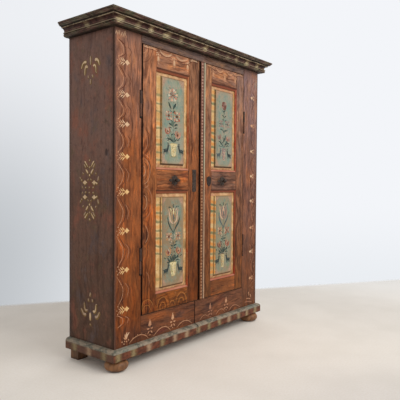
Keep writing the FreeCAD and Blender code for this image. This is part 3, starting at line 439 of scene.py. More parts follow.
def panel_paint(node, opening, zr, seed, lean, warm, bright=1.0, tint=(1.0, 1.0, 1.0), shoulder=(78, 56, 34), lip=0.002):
    """Panel with a grey-green field and dabbed ochre bevels.

    lean shifts the bevel from ochre towards orange, warm browns the field,
    bright scales the bevel, tint the field; shoulder is the painted shade colour on the step
    round the field; the bevel's paint runs over the field's left edge by lip, ending in a painted shade line."""
    m = Mat("paint_" + node, PANEL)
    x, y, z = m.x, m.y, m.z
    fx0, fx1 = opening[0] + 0.038, opening[1] - 0.038
    fz0, fz1 = zr[0] + 0.023, zr[1] - 0.023
    n1 = m.noise(m.vec(x * 24.0, z * 19.0, seed), 1.0, 5.0, 0.62)
    n2 = m.noise(m.vec(x * 120.0, z * 30.0, seed + 5.0), 1.0, 3.0, 0.6)
    n3 = m.noise(m.vec(x * 9.0, z * 6.5, seed + 9.0), 1.0, 3.0, 0.5)
    n4 = m.noise(m.vec(x * 125.0, z * 105.0, seed), 1.0, 3.0, 0.65)
    n5 = m.noise(m.vec(x * 48.0, z * 36.0, seed + 15.0), 1.0, 3.0, 0.6)
    n6 = m.noise(m.vec(x * 36.0, z * 17.0, seed + 25.0), 1.0, 3.0, 0.6)
    # field
    field = m.mix(m.step(0.36, 0.64, n1), m.c(124, 140, 128), m.c(156, 160, 144))
    field = m.mix(m.step(0.5, 0.72, n3) * 0.6, field, m.c(154, 150, 134))
    field = m.mix((1.0 - m.step(0.3, 0.48, n3)) * 0.55, field, m.c(120, 146, 132))
    field = m.mix(m.step(0.54, 0.68, n5) * 0.7, field, m.c(168, 148, 132))
    field = m.mix((1.0 - m.step(0.34, 0.46, n5)) * 0.75, field, m.c(104, 136, 130))
    field = m.mix(m.step(0.55, 0.7, n6) * 0.55, field, m.c(136, 148, 112))
    field = m.glaze(m.step(0.5, 0.74, n2) * 0.5, field, 0.70, 0.70, 0.68)
    field = m.glaze((1.0 - m.step(0.28, 0.46, n2)) * 0.4, field, 1.22, 1.18, 1.12)
    field = m.mix(m.step(0.58, 0.74, n4) * 0.5, field, m.c(190, 178, 150))
    field = m.mix((1.0 - m.step(0.27, 0.41, n4)) * 0.5, field, m.c(88, 84, 68))
    field = m.mix(m.step(0.36, 0.62, n1 + (n4 - 0.5) * 0.5) * (0.15 + 0.5 * warm), field, m.c(142, 112, 78))
    field = m.glaze(1.0, field, *tint)
    dx, dz = m.min(x - fx0, fx1 - x), m.min(z - fz0, fz1 - z)
    ein = m.min(dx, dz)
    # rosy stippling across the corners
    diag = m.step(0.034, 0.064, dx + dz * 0.8 + (n1 - 0.5) * 0.06)
    rosy = m.mix(m.step(0.45, 0.6, n4), m.c(178, 128, 106), m.c(202, 160, 134))
    field = m.mix((1.0 - diag) * (0.55 + 0.2 * warm + 0.3 * m.step(0.4, 0.65, n4)), field, rosy)
    # dirt along the edges of the field
    soil = 1.0 - m.step(0.0, 0.026, ein + (n1 - 0.5) * 0.05)
    field = m.mix(soil * (0.4 + 0.35 * warm), field, m.c(160, 132, 102))
    left = 1.0 - m.step(0.0, 0.042, x - fx0 + (n1 - 0.5) * 0.04)
    field = m.mix(left * 0.5 * warm, field, m.c(124, 104, 80))
    grime = 1.0 - m.step(0.0, 0.006, ein + (n2 - 0.5) * 0.008)
    field = m.mix(grime * 0.6, field, m.c(104, 82, 56))
    field, hole = worm_holes(m, field, 0.72)
    # bevels: ochre with orange blocks and thin green dabs, paler and rosier at the ends
    p = z / 0.0465 + (x - fx0) * 2.5 + (n3 - 0.5) * 0.9 + seed
    f = m.fract(p)
    rnd = m.noise(m.vec(seed, 0.0, m.floor(p) * 3.7), 1.0, 0.0)
    bev = m.mix(m.step(0.36, 0.64, n1), m.c(204, 158, 94), m.c(224, 188, 128))
    bev = m.mix(m.step(0.52, 0.68, n5) * m.step(0.45, 0.65, rnd) * 0.7, bev, m.c(234, 210, 166))
    block = m.band(0.42, 0.86, 0.12, f + (n1 - 0.5) * 0.5)
    bev = m.mix(block * m.step(0.38, 0.6, rnd + (lean - 0.5) * 0.4) * (0.6 + 0.35 * lean), bev, m.c(220, 146, 70))
    dab = m.band(0.02, 0.22 + 0.16 * lean, 0.09, f + (n1 - 0.5) * 0.5)
    bev = m.mix(dab * m.step(0.3, 0.5, rnd) * (0.65 + 0.3 * lean), bev, m.c(116, 122, 84))
    bev = m.glaze(m.step(0.5, 0.72, n2) * 0.5, bev, 0.74, 0.64, 0.54)
    bev = m.mix((1.0 - m.step(0.27, 0.42, n4)) * 0.5, bev, m.c(134, 90, 52))
    bev = m.glaze(1.0, bev, bright, bright * 1.03, bright * 1.18)
    ends = m.max(m.step(fz1 - 0.002, fz1 + 0.003, z), 1.0 - m.step(fz0 - 0.003, fz0 + 0.002, z))
    brown = m.mix(m.step(0.4, 0.65, n1), m.c(182, 132, 96), m.c(214, 174, 130))
    brown = m.mix(m.step(0.5, 0.7, n3) * 0.6, brown, m.c(198, 142, 114))
    brown = m.mix((1.0 - m.step(0.30, 0.46, n6)) * 0.6, brown, m.c(142, 104, 66))
    bev = m.mix(ends * 0.9, bev, brown)
    right = m.step(fx1 - 0.004, fx1 + 0.004, x)
    bev = m.mix(right * 0.75, bev, m.mix(m.step(0.4, 0.6, n1), m.c(190, 142, 92), m.c(222, 184, 134)))
    bev = m.mix(right * m.step(0.54, 0.66, n6) * 0.7, bev, m.c(128, 112, 74))
    eout = m.min(m.min(x - opening[0], opening[1] - x), m.min(z - zr[0], zr[1] - z))
    bev = m.mix((1.0 - m.step(0.0, 0.006, eout + (n1 - 0.5) * 0.009)) * 0.6, bev, m.c(140, 84, 52))
    # painted shadow of the raised field on the bevel, beside its left edge and, darkest, below its foot
    soft = m.step(-0.012, -0.001, x - fx0 + (n1 - 0.5) * 0.012) * (1.0 - m.step(-0.0005, 0.0005, x - fx0)) * (1.0 - m.step(fx1 - 0.01, fx1, x)) * m.step(fz0 - 0.004, fz0, z) * (1.0 - m.step(fz1, fz1 + 0.003, z))
    bev = m.mix(soft * 0.7, bev, m.c(96, 66, 36))
    foot = m.band(fz0 - 0.0085, fz0 + 0.001, 0.002, z + (n1 - 0.5) * 0.006) * m.band(fx0 - 0.006, fx1 + 0.002, 0.003, x)
    bev = m.mix(foot * 0.85, bev, m.c(56, 36, 22))
    # shoulder round the field in painted shade, also on the bevel close by
    depth = y - FY
    over = x - fx0 + (n1 - 0.5) * 0.005
    field = m.mix((1.0 - m.step(lip - 0.0012, lip + 0.0012, over)) * m.step(fz0, fz0 + 0.002, z), field, bev)
    # painted shade line where the bevel's paint stops on the field
    field = m.mix(m.band(lip - 0.0008, lip + 0.0022, 0.001, over) * 0.65, field, m.c(84, 66, 40))
    col = m.mix(m.step(0.0022, 0.0032, depth), field, m.c(*shoulder))
    col = m.mix(m.step(0.0062, 0.0068, depth), col, bev)
    nearest = m.step(-0.006, 0.0, ein)
    col = m.mix(nearest * m.step(0.005, 0.0063, depth) * 0.85, col, m.c(*shoulder))
    inner = m.step(0.3, 0.7, m.ny)
    wood, wh, _ = wood_layers(m, z, x, y, lin(168, 128, 88), lin(138, 100, 66), lin(92, 64, 42))
    col = m.mix(inner, col, wood)
    height = n1 * 0.4 + n2 * 0.45 + n4 * 0.2 - hole * 0.8
    return m.done(col, 0.6 + (n1 - 0.5) * 0.25, m.bump(height, 0.001, 0.55), spec=0.12)


def cornice_paint(name, along):
    """Dabbed and slant-stroked paint; zz is the height above the soffit in mm.

    Torus 0-19, fillet 19-23, hollow 25-45, fillet 45-50, ovolo 52-65, top fillet."""
    m = Mat(name, TRIM)
    s = m.x if along == "x" else m.y
    z = m.z
    zz = (z - 1.777) * 1000.0
    t = s - z * 1.2
    n1 = m.noise(m.vec(s * 30.0, z * 60.0, m.y * 20.0), 1.0, 4.0, 0.6)
    hue = m.noise(m.vec(t * 22.0, z * 40.0, 7.0), 1.0, 2.0, 0.6)
    brush = m.noise(m.vec(t * 74.0, z * 9.0, 3.0), 1.0, 3.0, 0.6)
    n2 = m.noise(m.vec(s * 150.0, z * 380.0, 3.0), 1.0, 3.0, 0.6)
    n3 = m.noise(m.vec(s * 6.0, 1.0, 8.0), 1.0, 2.0)
    # ground with slanted strokes of olive and maroon
    col = m.mix(m.step(0.40, 0.48, hue), m.c(72, 70, 52), m.c(74, 56, 45))
    col = m.mix(m.step(0.53, 0.60, hue), col, m.c(86, 55, 49))
    lines = m.noise(m.vec(s * 11.0, z * 420.0, 5.0), 1.0, 2.0, 0.5)
    col = m.glaze((1.0 - m.step(0.38, 0.48, brush)) * 0.75, col, 0.42, 0.40, 0.40)
    col = m.mix(m.step(0.54, 0.66, brush) * 0.4, col, m.c(134, 116, 94))
    col = m.mix(m.step(0.52, 0.62, lines) * 0.65, col, m.c(130, 116, 96))
    col = m.glaze((1.0 - m.step(0.34, 0.46, lines)) * 0.7, col, 0.42, 0.40, 0.40)
    # dabs on the hollow and the lower mouldings
    p = (s - z * 0.5) / 0.115 + (n3 - 0.5) * 0.8
    f = m.fract(p)
    rnd = m.noise(m.vec(0.5, 0.0, m.floor(p) * 5.3), 1.0, 0.0)
    dab = m.band(0.22, 0.46, 0.13, f + (n1 - 0.5) * 0.4 + (lines - 0.5) * 0.5) * (0.45 + 0.55 * m.step(0.4, 0.58, rnd + (n1 - 0.5) * 0.4)) * (0.72 + 0.28 * m.step(0.38, 0.56, lines)) * (1.0 if along == "x" else 0.6)
    cream = m.mix(m.step(0.42, 0.58, rnd), m.c(160, 147, 112), m.c(214, 196, 150))
    cream = m.glaze((1.0 - m.step(0.35, 0.5, brush)) * 0.6, cream, 0.68, 0.66, 0.6)
    plum = m.mix(m.step(0.40, 0.60, n1), m.c(68, 42, 36), m.c(106, 73, 63))
    hollow = m.mix(dab * 0.95, plum, cream)
    # painted shade in the top of the hollow, under the upper fillet
    hollow = m.glaze(m.step(34.0, 37.0, zz + (n1 - 0.5) * 3.0) * 0.9, hollow, 0.40, 0.32, 0.31)
    col = m.mix(m.band(24.0, 45.2, 0.5, zz), col, hollow)
    torus = m.mix(dab * m.step(10.0, 13.0, zz + (n1 - 0.5) * 3.0) * 0.85, m.glaze(0.8, col, 0.94, 0.90, 0.86), cream)
    col = m.mix(1.0 - m.step(18.0, 19.0, zz), col, torus)
    # pale lines of the fillets
    low = m.mix(dab, m.c(142, 124, 102), m.c(206, 190, 154))
    low = m.glaze((1.0 - m.step(0.34, 0.5, n1)) * 0.5, low, 0.66, 0.63, 0.6)
    col = m.mix(m.band(18.8, 23.2, 0.4, zz) * 0.92, col, low)
    high = m.mix(m.step(0.40, 0.58, n1), m.c(104, 88, 72), m.c(178, 158, 128))
    col = m.mix(m.band(45.2, 50.2, 0.4, zz) * 0.9, col, high)
    # painted shade in the quirks above the two fillets
    col = m.mix(m.band(22.6, 27.0, 0.4, zz) * 0.92, col, m.c(28, 20, 17))
    col = m.mix(m.band(50.0, 54.0, 0.5, zz) * 0.88, col, m.c(31, 24, 19))
    col = m.glaze(m.step(65.0, 66.0, zz) * 0.5, col, 1.25, 1.2, 1.12)
    # painted shade on the soffit under the cornice
    under = 1.0 - m.step(0.5, 2.2, zz)
    col = m.mix(under * 0.85, col, m.c(34, 26, 21))
    rub = m.noise(m.vec(s * 90.0, z * 260.0, m.y * 40.0), 1.0, 4.0, 0.7)
    col = m.mix(m.step(0.66, 0.82, rub) * 0.4, col, m.c(164, 140, 108))
    up = m.step(0.8, 0.97, m.nz) * m.step(70.0, 72.5, zz)
    wood, wh, _ = wood_layers(m, s, m.y if along == "x" else m.x, z, lin(150, 116, 82), lin(122, 92, 64), lin(84, 62, 44))
    col = m.mix(up, col, wood)
    return m.done(col, 0.52 + (n1 - 0.5) * 0.3, m.bump(n1 * 0.5 + n2 * 0.4, 0.0011, 0.55), spec=0.14)


def plinth_paint(name, along):
    m = Mat(name, BASE)
    s = m.x if along == "x" else m.y
    z = m.z
    zz = z * 1000.0
    n1 = m.noise(m.vec(s * 26.0, z * 60.0, m.y * 10.0 + m.x * 10.0), 1.0, 4.0, 0.62)
    n2 = m.noise(m.vec(s * 34.0, z * 360.0, 3.0), 1.0, 3.0, 0.6)
    n3 = m.noise(m.vec(s * 4.0, 1.0, 8.0), 1.0, 2.0)
    n4 = m.noise(m.vec(s * 130.0, z * 110.0, 5.0), 1.0, 3.0, 0.6)
    face = m.mix(m.step(0.38, 0.64, n1), m.c(84, 50, 38), m.c(118, 70, 50))
    face = m.glaze(m.step(0.5, 0.74, n2) * 0.6, face, 0.6, 0.55, 0.55)
    face = m.glaze((1.0 - m.step(0.28, 0.44, n2)) * 0.5, face, 1.4, 1.26, 1.16)
    if along == "x":
        p = (s + 0.690) / 0.1085 + (n3 - 0.5) * 0.35
    else:
        p = (s + 0.25) / 0.122 + (n3 - 0.5) * 0.35
        face = m.mix(0.6 * m.step(0.1, 0.5, n1), face, m.c(96, 74, 62))
    f = m.fract(p) + (n1 - 0.5) * 0.22
    rnd = m.noise(m.vec(0.5, 0.0, m.floor(p) * 5.3), 1.0, 0.0)
    fringe = m.band(0.02, 0.44, 0.09, f)
    heart = m.band(0.12, 0.32, 0.08, f + (n4 - 0.5) * 0.25)
    olive = m.mix(m.step(0.4, 0.6, rnd), m.c(122, 108, 74), m.c(132, 104, 82))
    cream = m.mix(m.step(0.4, 0.6, rnd), m.c(160, 148, 110), m.c(164, 136, 110))
    k = 1.0 if along == "x" else 0.8
    k = k * (0.55 + 0.45 * m.step(0.38, 0.6, rnd + (n1 - 0.5) * 0.5))
    col = m.mix(fringe * k * 0.75, face, olive)
    col = m.mix(heart * k * 0.9, col, cream)
    col = m.glaze(m.step(0.50, 0.70, n2) * 0.65, col, 0.62, 0.57, 0.54)
    col = m.glaze((1.0 - m.step(0.30, 0.44, n4)) * 0.5, col, 0.6, 0.56, 0.54)
    col = m.glaze(m.step(0.58, 0.72, n4) * 0.5, col, 1.45, 1.4, 1.34)
    # grey-green upper moulding
    top = m.step(101.0, 107.0, zz + (n1 - 0.5) * 8.0)
    grey = m.mix(m.step(0.38, 0.60, n1), m.c(94, 93, 82), m.c(150, 136, 119))
    grey = m.mix(m.step(0.52, 0.68, n3 + (n4 - 0.5) * 0.3) * 0.5, grey, m.c(108, 122, 114))
    grey = m.mix(m.step(0.54, 0.68, n4) * 0.6, grey, m.c(170, 154, 134))
    grey = m.glaze(m.step(0.52, 0.68, n2) * 0.8, grey, 0.56, 0.52, 0.48)
    if along == "y":
        grey = m.glaze(m.step(0.4, 0.7, n1) * 0.5, grey, 0.8, 0.76, 0.72)
    col = m.mix(top, col, grey)
    foot = 1.0 - m.step(63.0, 72.0, zz + (n1 - 0.5) * 8.0)
    col = m.glaze(foot * 0.7, col, 0.5, 0.48, 0.46)
    if along == "x":
        seam = 1.0 - m.step(0.0018, 0.0046, m.abs(s + 0.0195) + (n4 - 0.5) * 0.002)
        col = m.mix(seam * 0.85, col, m.c(36, 26, 21))
    rub = m.noise(m.vec(s * 80.0, z * 200.0, m.y * 40.0), 1.0, 4.0, 0.7)
    col = m.mix(m.step(0.66, 0.82, rub) * 0.4, col, m.c(172, 146, 114))
    col, hole = worm_holes(m, col, 0.6)
    return m.done(col, 0.52 + (n1 - 0.5) * 0.3, m.bump(n1 * 0.5 + n2 * 0.4 - hole, 0.0011, 0.55), spec=0.14)


def astragal_paint():
    """Beaded strip x 16-43 mm, quirk, pale fillet 48-58, cove."""
    m = Mat("paint_astragal", FRONT)
    x, y, z = m.x, m.y, m.z
    xx = x * 1000.0
    n1 = m.noise(m.vec(x * 60.0, z * 26.0, 2.0), 1.0, 4.0, 0.62)
    n2 = m.noise(m.vec(x * 300.0, z * 60.0, 2.0), 1.0, 3.0, 0.6)
    ground = m.mix(m.step(0.7, 1.5, z), m.c(130, 80, 48), m.c(132, 88, 72))
    ground = m.glaze(m.step(0.5, 0.75, n2) * 0.6, ground, 0.6, 0.52, 0.5)
    ground = m.glaze((1.0 - m.step(0.3, 0.48, n1)) * 0.6, ground, 0.62, 0.56, 0.54)
    col = m.mix(m.step(32.0, 36.0, xx + (n1 - 0.5) * 4.0) * 0.75, ground, m.c(112, 86, 76))
    f = m.fract(z / 0.0192 + (n1 - 0.5) * 0.4)
    bead = m.band(0.2, 0.66, 0.13, f) * m.band(21.5, 33.5, 2.5, xx + (n1 - 0.5) * 6.0)
    pale = m.mix(m.step(0.9, 1.3, z), m.c(206, 160, 122), m.c(208, 168, 148))
    col = m.mix(bead * m.step(0.34, 0.56, n1 * 0.6 + n2 * 0.4) * 0.72, col, pale)
    gap = m.band(0.78, 0.98, 0.08, f) * m.band(19.0, 40.0, 3.0, xx)
    col = m.glaze(gap * 0.7, col, 0.5, 0.44, 0.42)
    # painted shade and dirt on the strip's left side face, in the gap beside the left door
    flank_shade = 1.0 - m.step(16.2, 17.6, xx + (n1 - 0.5) * 0.8)
    col = m.mix(flank_shade * 0.93, col, m.c(28, 18, 13))
    # painted shade in the quirk between the strip and the fillet
    quirk = m.band(42.6, 48.2, 0.5, xx)
    col = m.mix(quirk * 0.85, col, m.c(46, 28, 23))
    line = m.mix(m.step(0.95, 1.12, z + (n1 - 0.5) * 0.2), m.c(180, 148, 122), m.c(180, 172, 146))
    line = m.glaze((1.0 - m.step(0.36, 0.52, n1)) * 0.5, line, 0.74, 0.7, 0.66)
    line = m.glaze(m.step(0.55, 0.75, n2) * 0.5, line, 0.7, 0.64, 0.58)
    col = m.mix(m.band(47.8, 58.4, 0.4, xx), col, line)
    cove = m.mix(m.step(0.4, 0.65, n1), m.c(98, 60, 46), m.c(136, 86, 64))
    col = m.mix(m.step(58.4, 59.0, xx), col, cove)
    return m.done(col, 0.5 + (n1 - 0.5) * 0.3, m.bump(n1 * 0.5 + n2 * 0.4, 0.001, 0.5), spec=0.14)


def iron(name, seed, bright=1.0, coat=None, coat_top=9.0):
    """Forged iron; coat is old paint that still covers most of it, up to the height coat_top."""
    m = Mat(name, 0.9)
    n1 = m.noise(m.vec(m.x + seed, m.y, m.z), 70.0, 5.0, 0.65)
    n2 = m.noise(m.vec(m.x + seed, m.y, m.z), 420.0, 3.0, 0.6)
    n3 = m.noise(m.vec(m.x, m.y + seed, m.z), 160.0, 4.0, 0.6)
    col = m.mix(m.step(0.35, 0.66, n1), m.c(46, 37, 32), m.c(82 * bright, 70 * bright, 62 * bright))
    col = m.mix(m.step(0.52, 0.74, n3) * 0.65, col, m.c(88, 54, 38))
    col = m.mix(m.step(0.6, 0.8, n2) * 0.3, col, m.c(112, 98, 86))
    if coat:
        col = m.mix((1.0 - m.step(0.52, 0.66, n3)) * (1.0 - m.step(coat_top - 0.1, coat_top, m.z)) * 0.85, col, m.c(*coat))
    rough = 0.55 + (n1 - 0.5) * 0.4
    return m.done(col, rough, m.bump(n1 * 0.6 + n2 * 0.3, 0.0009, 0.6), metal=0.2, spec=0.25)


def foot_wood(name, cx, cy, gain=0.8):
    m = Mat(name, gain)
    x, y, z = m.x - cx, m.y - cy, m.z
    grain = m.noise(m.vec(x * 90.0, y * 90.0, z * 14.0), 1.0, 4.0, 0.6)
    fig = m.noise(m.vec(x * 26.0 + cx, y * 26.0, z * 9.0), 1.0, 4.0, 0.6, 0.6)
    turn = m.noise(m.vec(0.0, 0.0, z * 900.0), 1.0, 2.0)
    col = m.mix(m.step(0.36, 0.66, fig), m.c(120, 82, 54), m.c(160, 112, 74))
    col = m.mix(m.step(0.5, 0.74, grain) * 0.65, col, m.c(82, 54, 38))
    col = m.mix(m.step(0.55, 0.75, turn) * 0.35, col, m.c(92, 62, 44))
    low = 1.0 - m.step(0.002, 0.02, z + (fig - 0.5) * 0.012)
    col = m.mix(low * 0.6, col, m.c(74, 54, 42))
    rub = m.noise(m.pos, 75.0, 5.0, 0.7)
    col = m.mix(m.step(0.6, 0.78, rub) * 0.5, col, m.c(184, 144, 108))
    col, hole = worm_holes(m, col, 0.6)
    return m.done(col, 0.48 + (fig - 0.5) * 0.3, m.bump(grain * 0.5 + turn * 0.25 - hole, 0.0012, 0.6), spec=0.3)


def brush_paint(name, col, alt, under, wear=0.5, gain=FRONT):
    """Paint of the drawn ornament: two close tones, streaked and rubbed through to the ground."""
    m = Mat("brush_" + name, gain)
    n1 = m.noise(m.pos, 60.0, 4.0, 0.6)
    n2 = m.noise(m.pos, 170.0, 4.0, 0.68)
    n3 = m.noise(m.vec(m.x * 300.0 + m.y * 300.0, 0.0, m.z * 120.0), 1.0, 2.0, 0.5)
    c = m.mix(m.step(0.36, 0.64, n1), m.c(*col), m.c(*alt))
    c = m.glaze(m.step(0.5, 0.76, n3) * 0.4, c, 0.66, 0.62, 0.58)
    c = m.mix(m.step(0.68 - 0.18 * wear, 0.82 - 0.18 * wear, n2) * (0.5 + 0.4 * wear), c, m.c(*under))
    return m.done(c, 0.55 + (n1 - 0.5) * 0.2, m.bump(n3 * 0.6 + n2 * 0.4, 0.0004, 0.5), spec=0.12)


WOODY, FIELD = (136, 82, 54), (138, 144, 128)
PAINT = {
    "cream": brush_paint("cream", (224, 176, 116), (236, 198, 142), WOODY, 0.5),
    "cream_up": brush_paint("cream_up", (212, 172, 136), (224, 190, 156), (146, 96, 74), 0.6),
    "buff": brush_paint("buff", (200, 148, 110), (210, 162, 124), (128, 80, 58), 0.6),
    "line": brush_paint("line", (186, 132, 98), (196, 146, 112), (134, 84, 60), 0.6),
    "trace": brush_paint("trace", (192, 138, 104), (204, 154, 120), (140, 86, 60), 0.8),
    "ghost": brush_paint("ghost", (164, 112, 84), (174, 126, 98), (122, 78, 58), 0.7),
    "amber": brush_paint("amber", (184, 118, 58), (194, 132, 72), (128, 74, 38), 0.8),
    "umber": brush_paint("umber", (90, 47, 30), (102, 56, 37), (128, 78, 52), 0.8),
    "leaf_soft": brush_paint("leaf_soft", (72, 86, 80), (86, 100, 90), FIELD, 0.55, PANEL),
    "shade": brush_paint("shade", (84, 44, 28), (98, 54, 36), (122, 72, 46), 0.75),
    "gold": brush_paint("gold", (184, 156, 124), (200, 174, 140), (92, 70, 52), 0.55, 1.25),
    "gold_dim": brush_paint("gold_dim", (150, 126, 106), (164, 140, 118), (90, 68, 54), 0.65, 1.25),
    "gold_shade": brush_paint("gold_shade", (98, 75, 42), (110, 86, 50), (92, 70, 56), 0.75, 1.35),
    "leaf": brush_paint("leaf", (46, 60, 56), (60, 76, 70), FIELD, 0.4, PANEL),
    "leaf_mid": brush_paint("leaf_mid", (82, 100, 88), (96, 112, 96), FIELD, 0.5, PANEL),
    "leaf_pale": brush_paint("leaf_pale", (166, 168, 144), (178, 178, 154), FIELD, 0.5, PANEL),
    "beast": brush_paint("beast", (46, 54, 54), (58, 68, 66), FIELD, 0.35, PANEL),
    "peach": brush_paint("peach", (202, 160, 132), (210, 176, 148), FIELD, 0.5, PANEL),
    "white": brush_paint("white", (206, 190, 166), (214, 202, 180), FIELD, 0.5, PANEL),
    "pink": brush_paint("pink", (186, 128, 106), (196, 144, 122), FIELD, 0.55, PANEL),
    "rose": brush_paint("rose", (152, 112, 102), (162, 124, 112), FIELD, 0.65, PANEL),
    "red": brush_paint("red", (152, 82, 62), (166, 98, 74), (150, 130, 112), 0.5, PANEL),
    "wine": brush_paint("wine", (108, 64, 54), (122, 76, 64), (132, 122, 108), 0.5, PANEL),
    "orange": brush_paint("orange", (186, 128, 84), (196, 144, 100), FIELD, 0.5, PANEL),
    "brown": brush_paint("brown", (84, 54, 40), (98, 66, 48), (132, 126, 108), 0.4, PANEL),
    "ink": brush_paint("ink", (50, 42, 38), (62, 54, 48), FIELD, 0.4, PANEL),
    "yellow": brush_paint("yellow", (208, 190, 138), (220, 206, 162), (150, 140, 98), 0.6, PANEL),
    "straw": brush_paint("straw", (178, 160, 112), (190, 172, 130), (138, 128, 92), 0.6, PANEL),
    "olive": brush_paint("olive", (126, 122, 82), (138, 134, 96), (104, 102, 76), 0.5, PANEL),
    "mauve": brush_paint("mauve", (130, 116, 110), (142, 126, 118), FIELD, 0.6, PANEL),
    "slate": brush_paint("slate", (76, 86, 88), (90, 100, 100), FIELD, 0.5, PANEL),
}


# ------------------------------------------------------------- brushed ornament

def spline(pts, per=7):
    """Catmull-Rom curve through the points."""
    if len(pts) == 2:
        (ax, ay), (bx, by) = pts
        return [(ax + (bx - ax) * i / per, ay + (by - ay) * i / per) for i in range(per + 1)]
    out = []
    p = [pts[0]] + list(pts) + [pts[-1]]
    for i in range(1, len(p) - 2):
        p0, p1, p2, p3 = p[i - 1:i + 3]
        for k in range(per):
            t = k / per
            out.append(tuple(0.5 * (2 * p1[j] + (p2[j] - p0[j]) * t + (2 * p0[j] - 5 * p1[j] + 4 * p2[j] - p3[j]) * t * t
                                    + (3 * p1[j] - p0[j] - 3 * p2[j] + p3[j]) * t ** 3) for j in range(2)))
    out.append(pts[-1])
    return out


class Brush:
    """Collects closed, slightly domed strokes (u, v in mm on one face of a board)."""

    def __init__(self, name, body, slot, place):
        self.name, self.body, self.slot, self.place = name, body, slot, place
        self.bm = bmesh.new()
        self.level = 0
        self.used = []

    def _mat(self, paint):
        if paint not in self.used:
            self.used.append(paint)
        return self.used.index(paint)

    def _h(self, high):
        # strokes laid later lie a hair higher, so that crossing strokes stay apart
        self.level += 1
        return high + 0.05 * (self.level % 5)

    def _vert(self, u, v, h):
        return self.bm.verts.new(self.place(u, v, h))

    def _face(self, vs, mi):
        f = self.bm.faces.new(vs)
        f.material_index = mi
        f.smooth = True

    def stroke(self, paint, pts, width, profile="soft", high=0.35, shake=0.5):
        """A brush stroke along pts. profile: soft, comma (fat start), drop (fat end), leaf, even."""
        mi, h = self._mat(paint), self._h(high)
        pts = [(u + rng.uniform(-shake, shake), v + rng.uniform(-shake, shake)) for u, v in pts]
        line = spline(pts)
        n = len(line)
        rows = []
        wob = rng.uniform(0.88, 1.12)
        rough = rng.uniform(0.05, 0.13)
        for i, (u, v) in enumerate(line):
            t = i / (n - 1)
            if profile == "soft":
                w = min(1.0, 0.25 + 4.5 * min(t, 1 - t))
            elif profile == "comma":
                w = (0.45 + 0.55 * min(1.0, t * 7)) * (1.0 - 0.82 * max(0.0, t - 0.18) / 0.82)
            elif profile == "drop":
                t2 = 1 - t
                w = (0.45 + 0.55 * min(1.0, t2 * 7)) * (1.0 - 0.82 * max(0.0, t2 - 0.18) / 0.82)
            elif profile == "leaf":
                w = max(0.12, math.sin(math.pi * min(1.0, max(0.0, t * 0.92 + 0.05))) ** 0.8)
            else:
                w = min(1.0, 0.5 + 6.0 * min(t, 1 - t))
            w *= width * 0.5 * wob * (1.0 + rough * math.sin(i * 1.9 + self.level) + 0.6 * rough * math.sin(i * 3.7 + 2 * self.level))
            a, b = line[max(0, i - 1)], line[min(n - 1, i + 1)]
            dx, dy = b[0] - a[0], b[1] - a[1]
            ln = math.hypot(dx, dy) or 1.0
            ox, oy = -dy / ln, dx / ln
            rows.append([self._vert(u + ox * w, v + oy * w, -0.2),
                         self._vert(u + ox * w * 0.72, v + oy * w * 0.72, h * 0.85),
                         self._vert(u, v, h),
                         self._vert(u - ox * w * 0.72, v - oy * w * 0.72, h * 0.85),
                         self._vert(u - ox * w, v - oy * w, -0.2)])
        for r, s in zip(rows, rows[1:]):
            for k in range(5):
                self._face([r[k], r[(k + 1) % 5], s[(k + 1) % 5], s[k]], mi)
        self._face(rows[0][::-1], mi)
        self._face(rows[-1], mi)

    def blob(self, paint, outline, high=0.35, shake=0.5, smooth=True):
        """A filled closed shape."""
        mi, h = self._mat(paint), self._h(high)
        pts = [(u + rng.uniform(-shake, shake), v + rng.uniform(-shake, shake)) for u, v in outline]
        if smooth:
            n = len(pts)
            ring = []
            for i in range(n):
                p0, p1, p2, p3 = pts[i - 1], pts[i], pts[(i + 1) % n], pts[(i + 2) % n]
                for k in range(3):
                    t = k / 3
                    ring.append(tuple(0.5 * (2 * p1[j] + (p2[j] - p0[j]) * t
                                             + (2 * p0[j] - 5 * p1[j] + 4 * p2[j] - p3[j]) * t * t
                                             + (3 * p1[j] - p0[j] - 3 * p2[j] + p3[j]) * t ** 3) for j in range(2)))
            pts = ring
        cu = sum(p[0] for p in pts) / len(pts)
        cv = sum(p[1] for p in pts) / len(pts)
        low = [self._vert(u, v, -0.2) for u, v in pts]
        top = [self._vert(cu + (u - cu) * 0.86, cv + (v - cv) * 0.86, h * 0.85) for u, v in pts]
        mid = self._vert(cu, cv, h)
        n = len(pts)
        for i in range(n):
            j = (i + 1) % n
            self._face([low[i], low[j], top[j], top[i]], mi)
            self._face([top[i], top[j], mid], mi)
        self._face(low[::-1], mi)

    def dot(self, paint, u, v, r, squash=1.0, high=0.35):
        self.blob(paint, [(u + r * math.cos(t * math.pi / 4), v + r * squash * math.sin(t * math.pi / 4)) for t in range(8)],
                  high, r * 0.12)

    def rhomb(self, paint, u, v, a, b, high=0.35):
        """Sharp lozenge with slightly hollow sides."""
        pts = []
        for k in range(4):
            t = k * math.pi / 2
            pts.append((u + a * math.cos(t), v + b * math.sin(t)))
            t += math.pi / 4
            pts.append((u + a * 0.66 * math.cos(t), v + b * 0.66 * math.sin(t)))
        self.blob(paint, pts, high, 0.7, smooth=False)

    def drop(self, paint, u, v, length, w, angle=90.0, high=0.35):
        """Teardrop centred at u, v whose fat end points along angle."""
        c, s = math.cos(math.radians(angle)), math.sin(math.radians(angle))
        self.stroke(paint, [(u - c * length / 2, v - s * length / 2), (u, v), (u + c * length / 2, v + s * length / 2)], w, "drop",
                    high)

    def leaf(self, paint, u, v, length, w, angle, bend=0.15, high=0.4):
        """Leaf that starts at u, v and points along angle."""
        t = math.radians(angle)
        c, s = math.cos(t), math.sin(t)
        self.stroke(paint, [(u, v), (u + c * length * 0.5 - s * length * bend, v + s * length * 0.5 + c * length * bend),
                            (u + c * length, v + s * length)], w, "leaf", high)

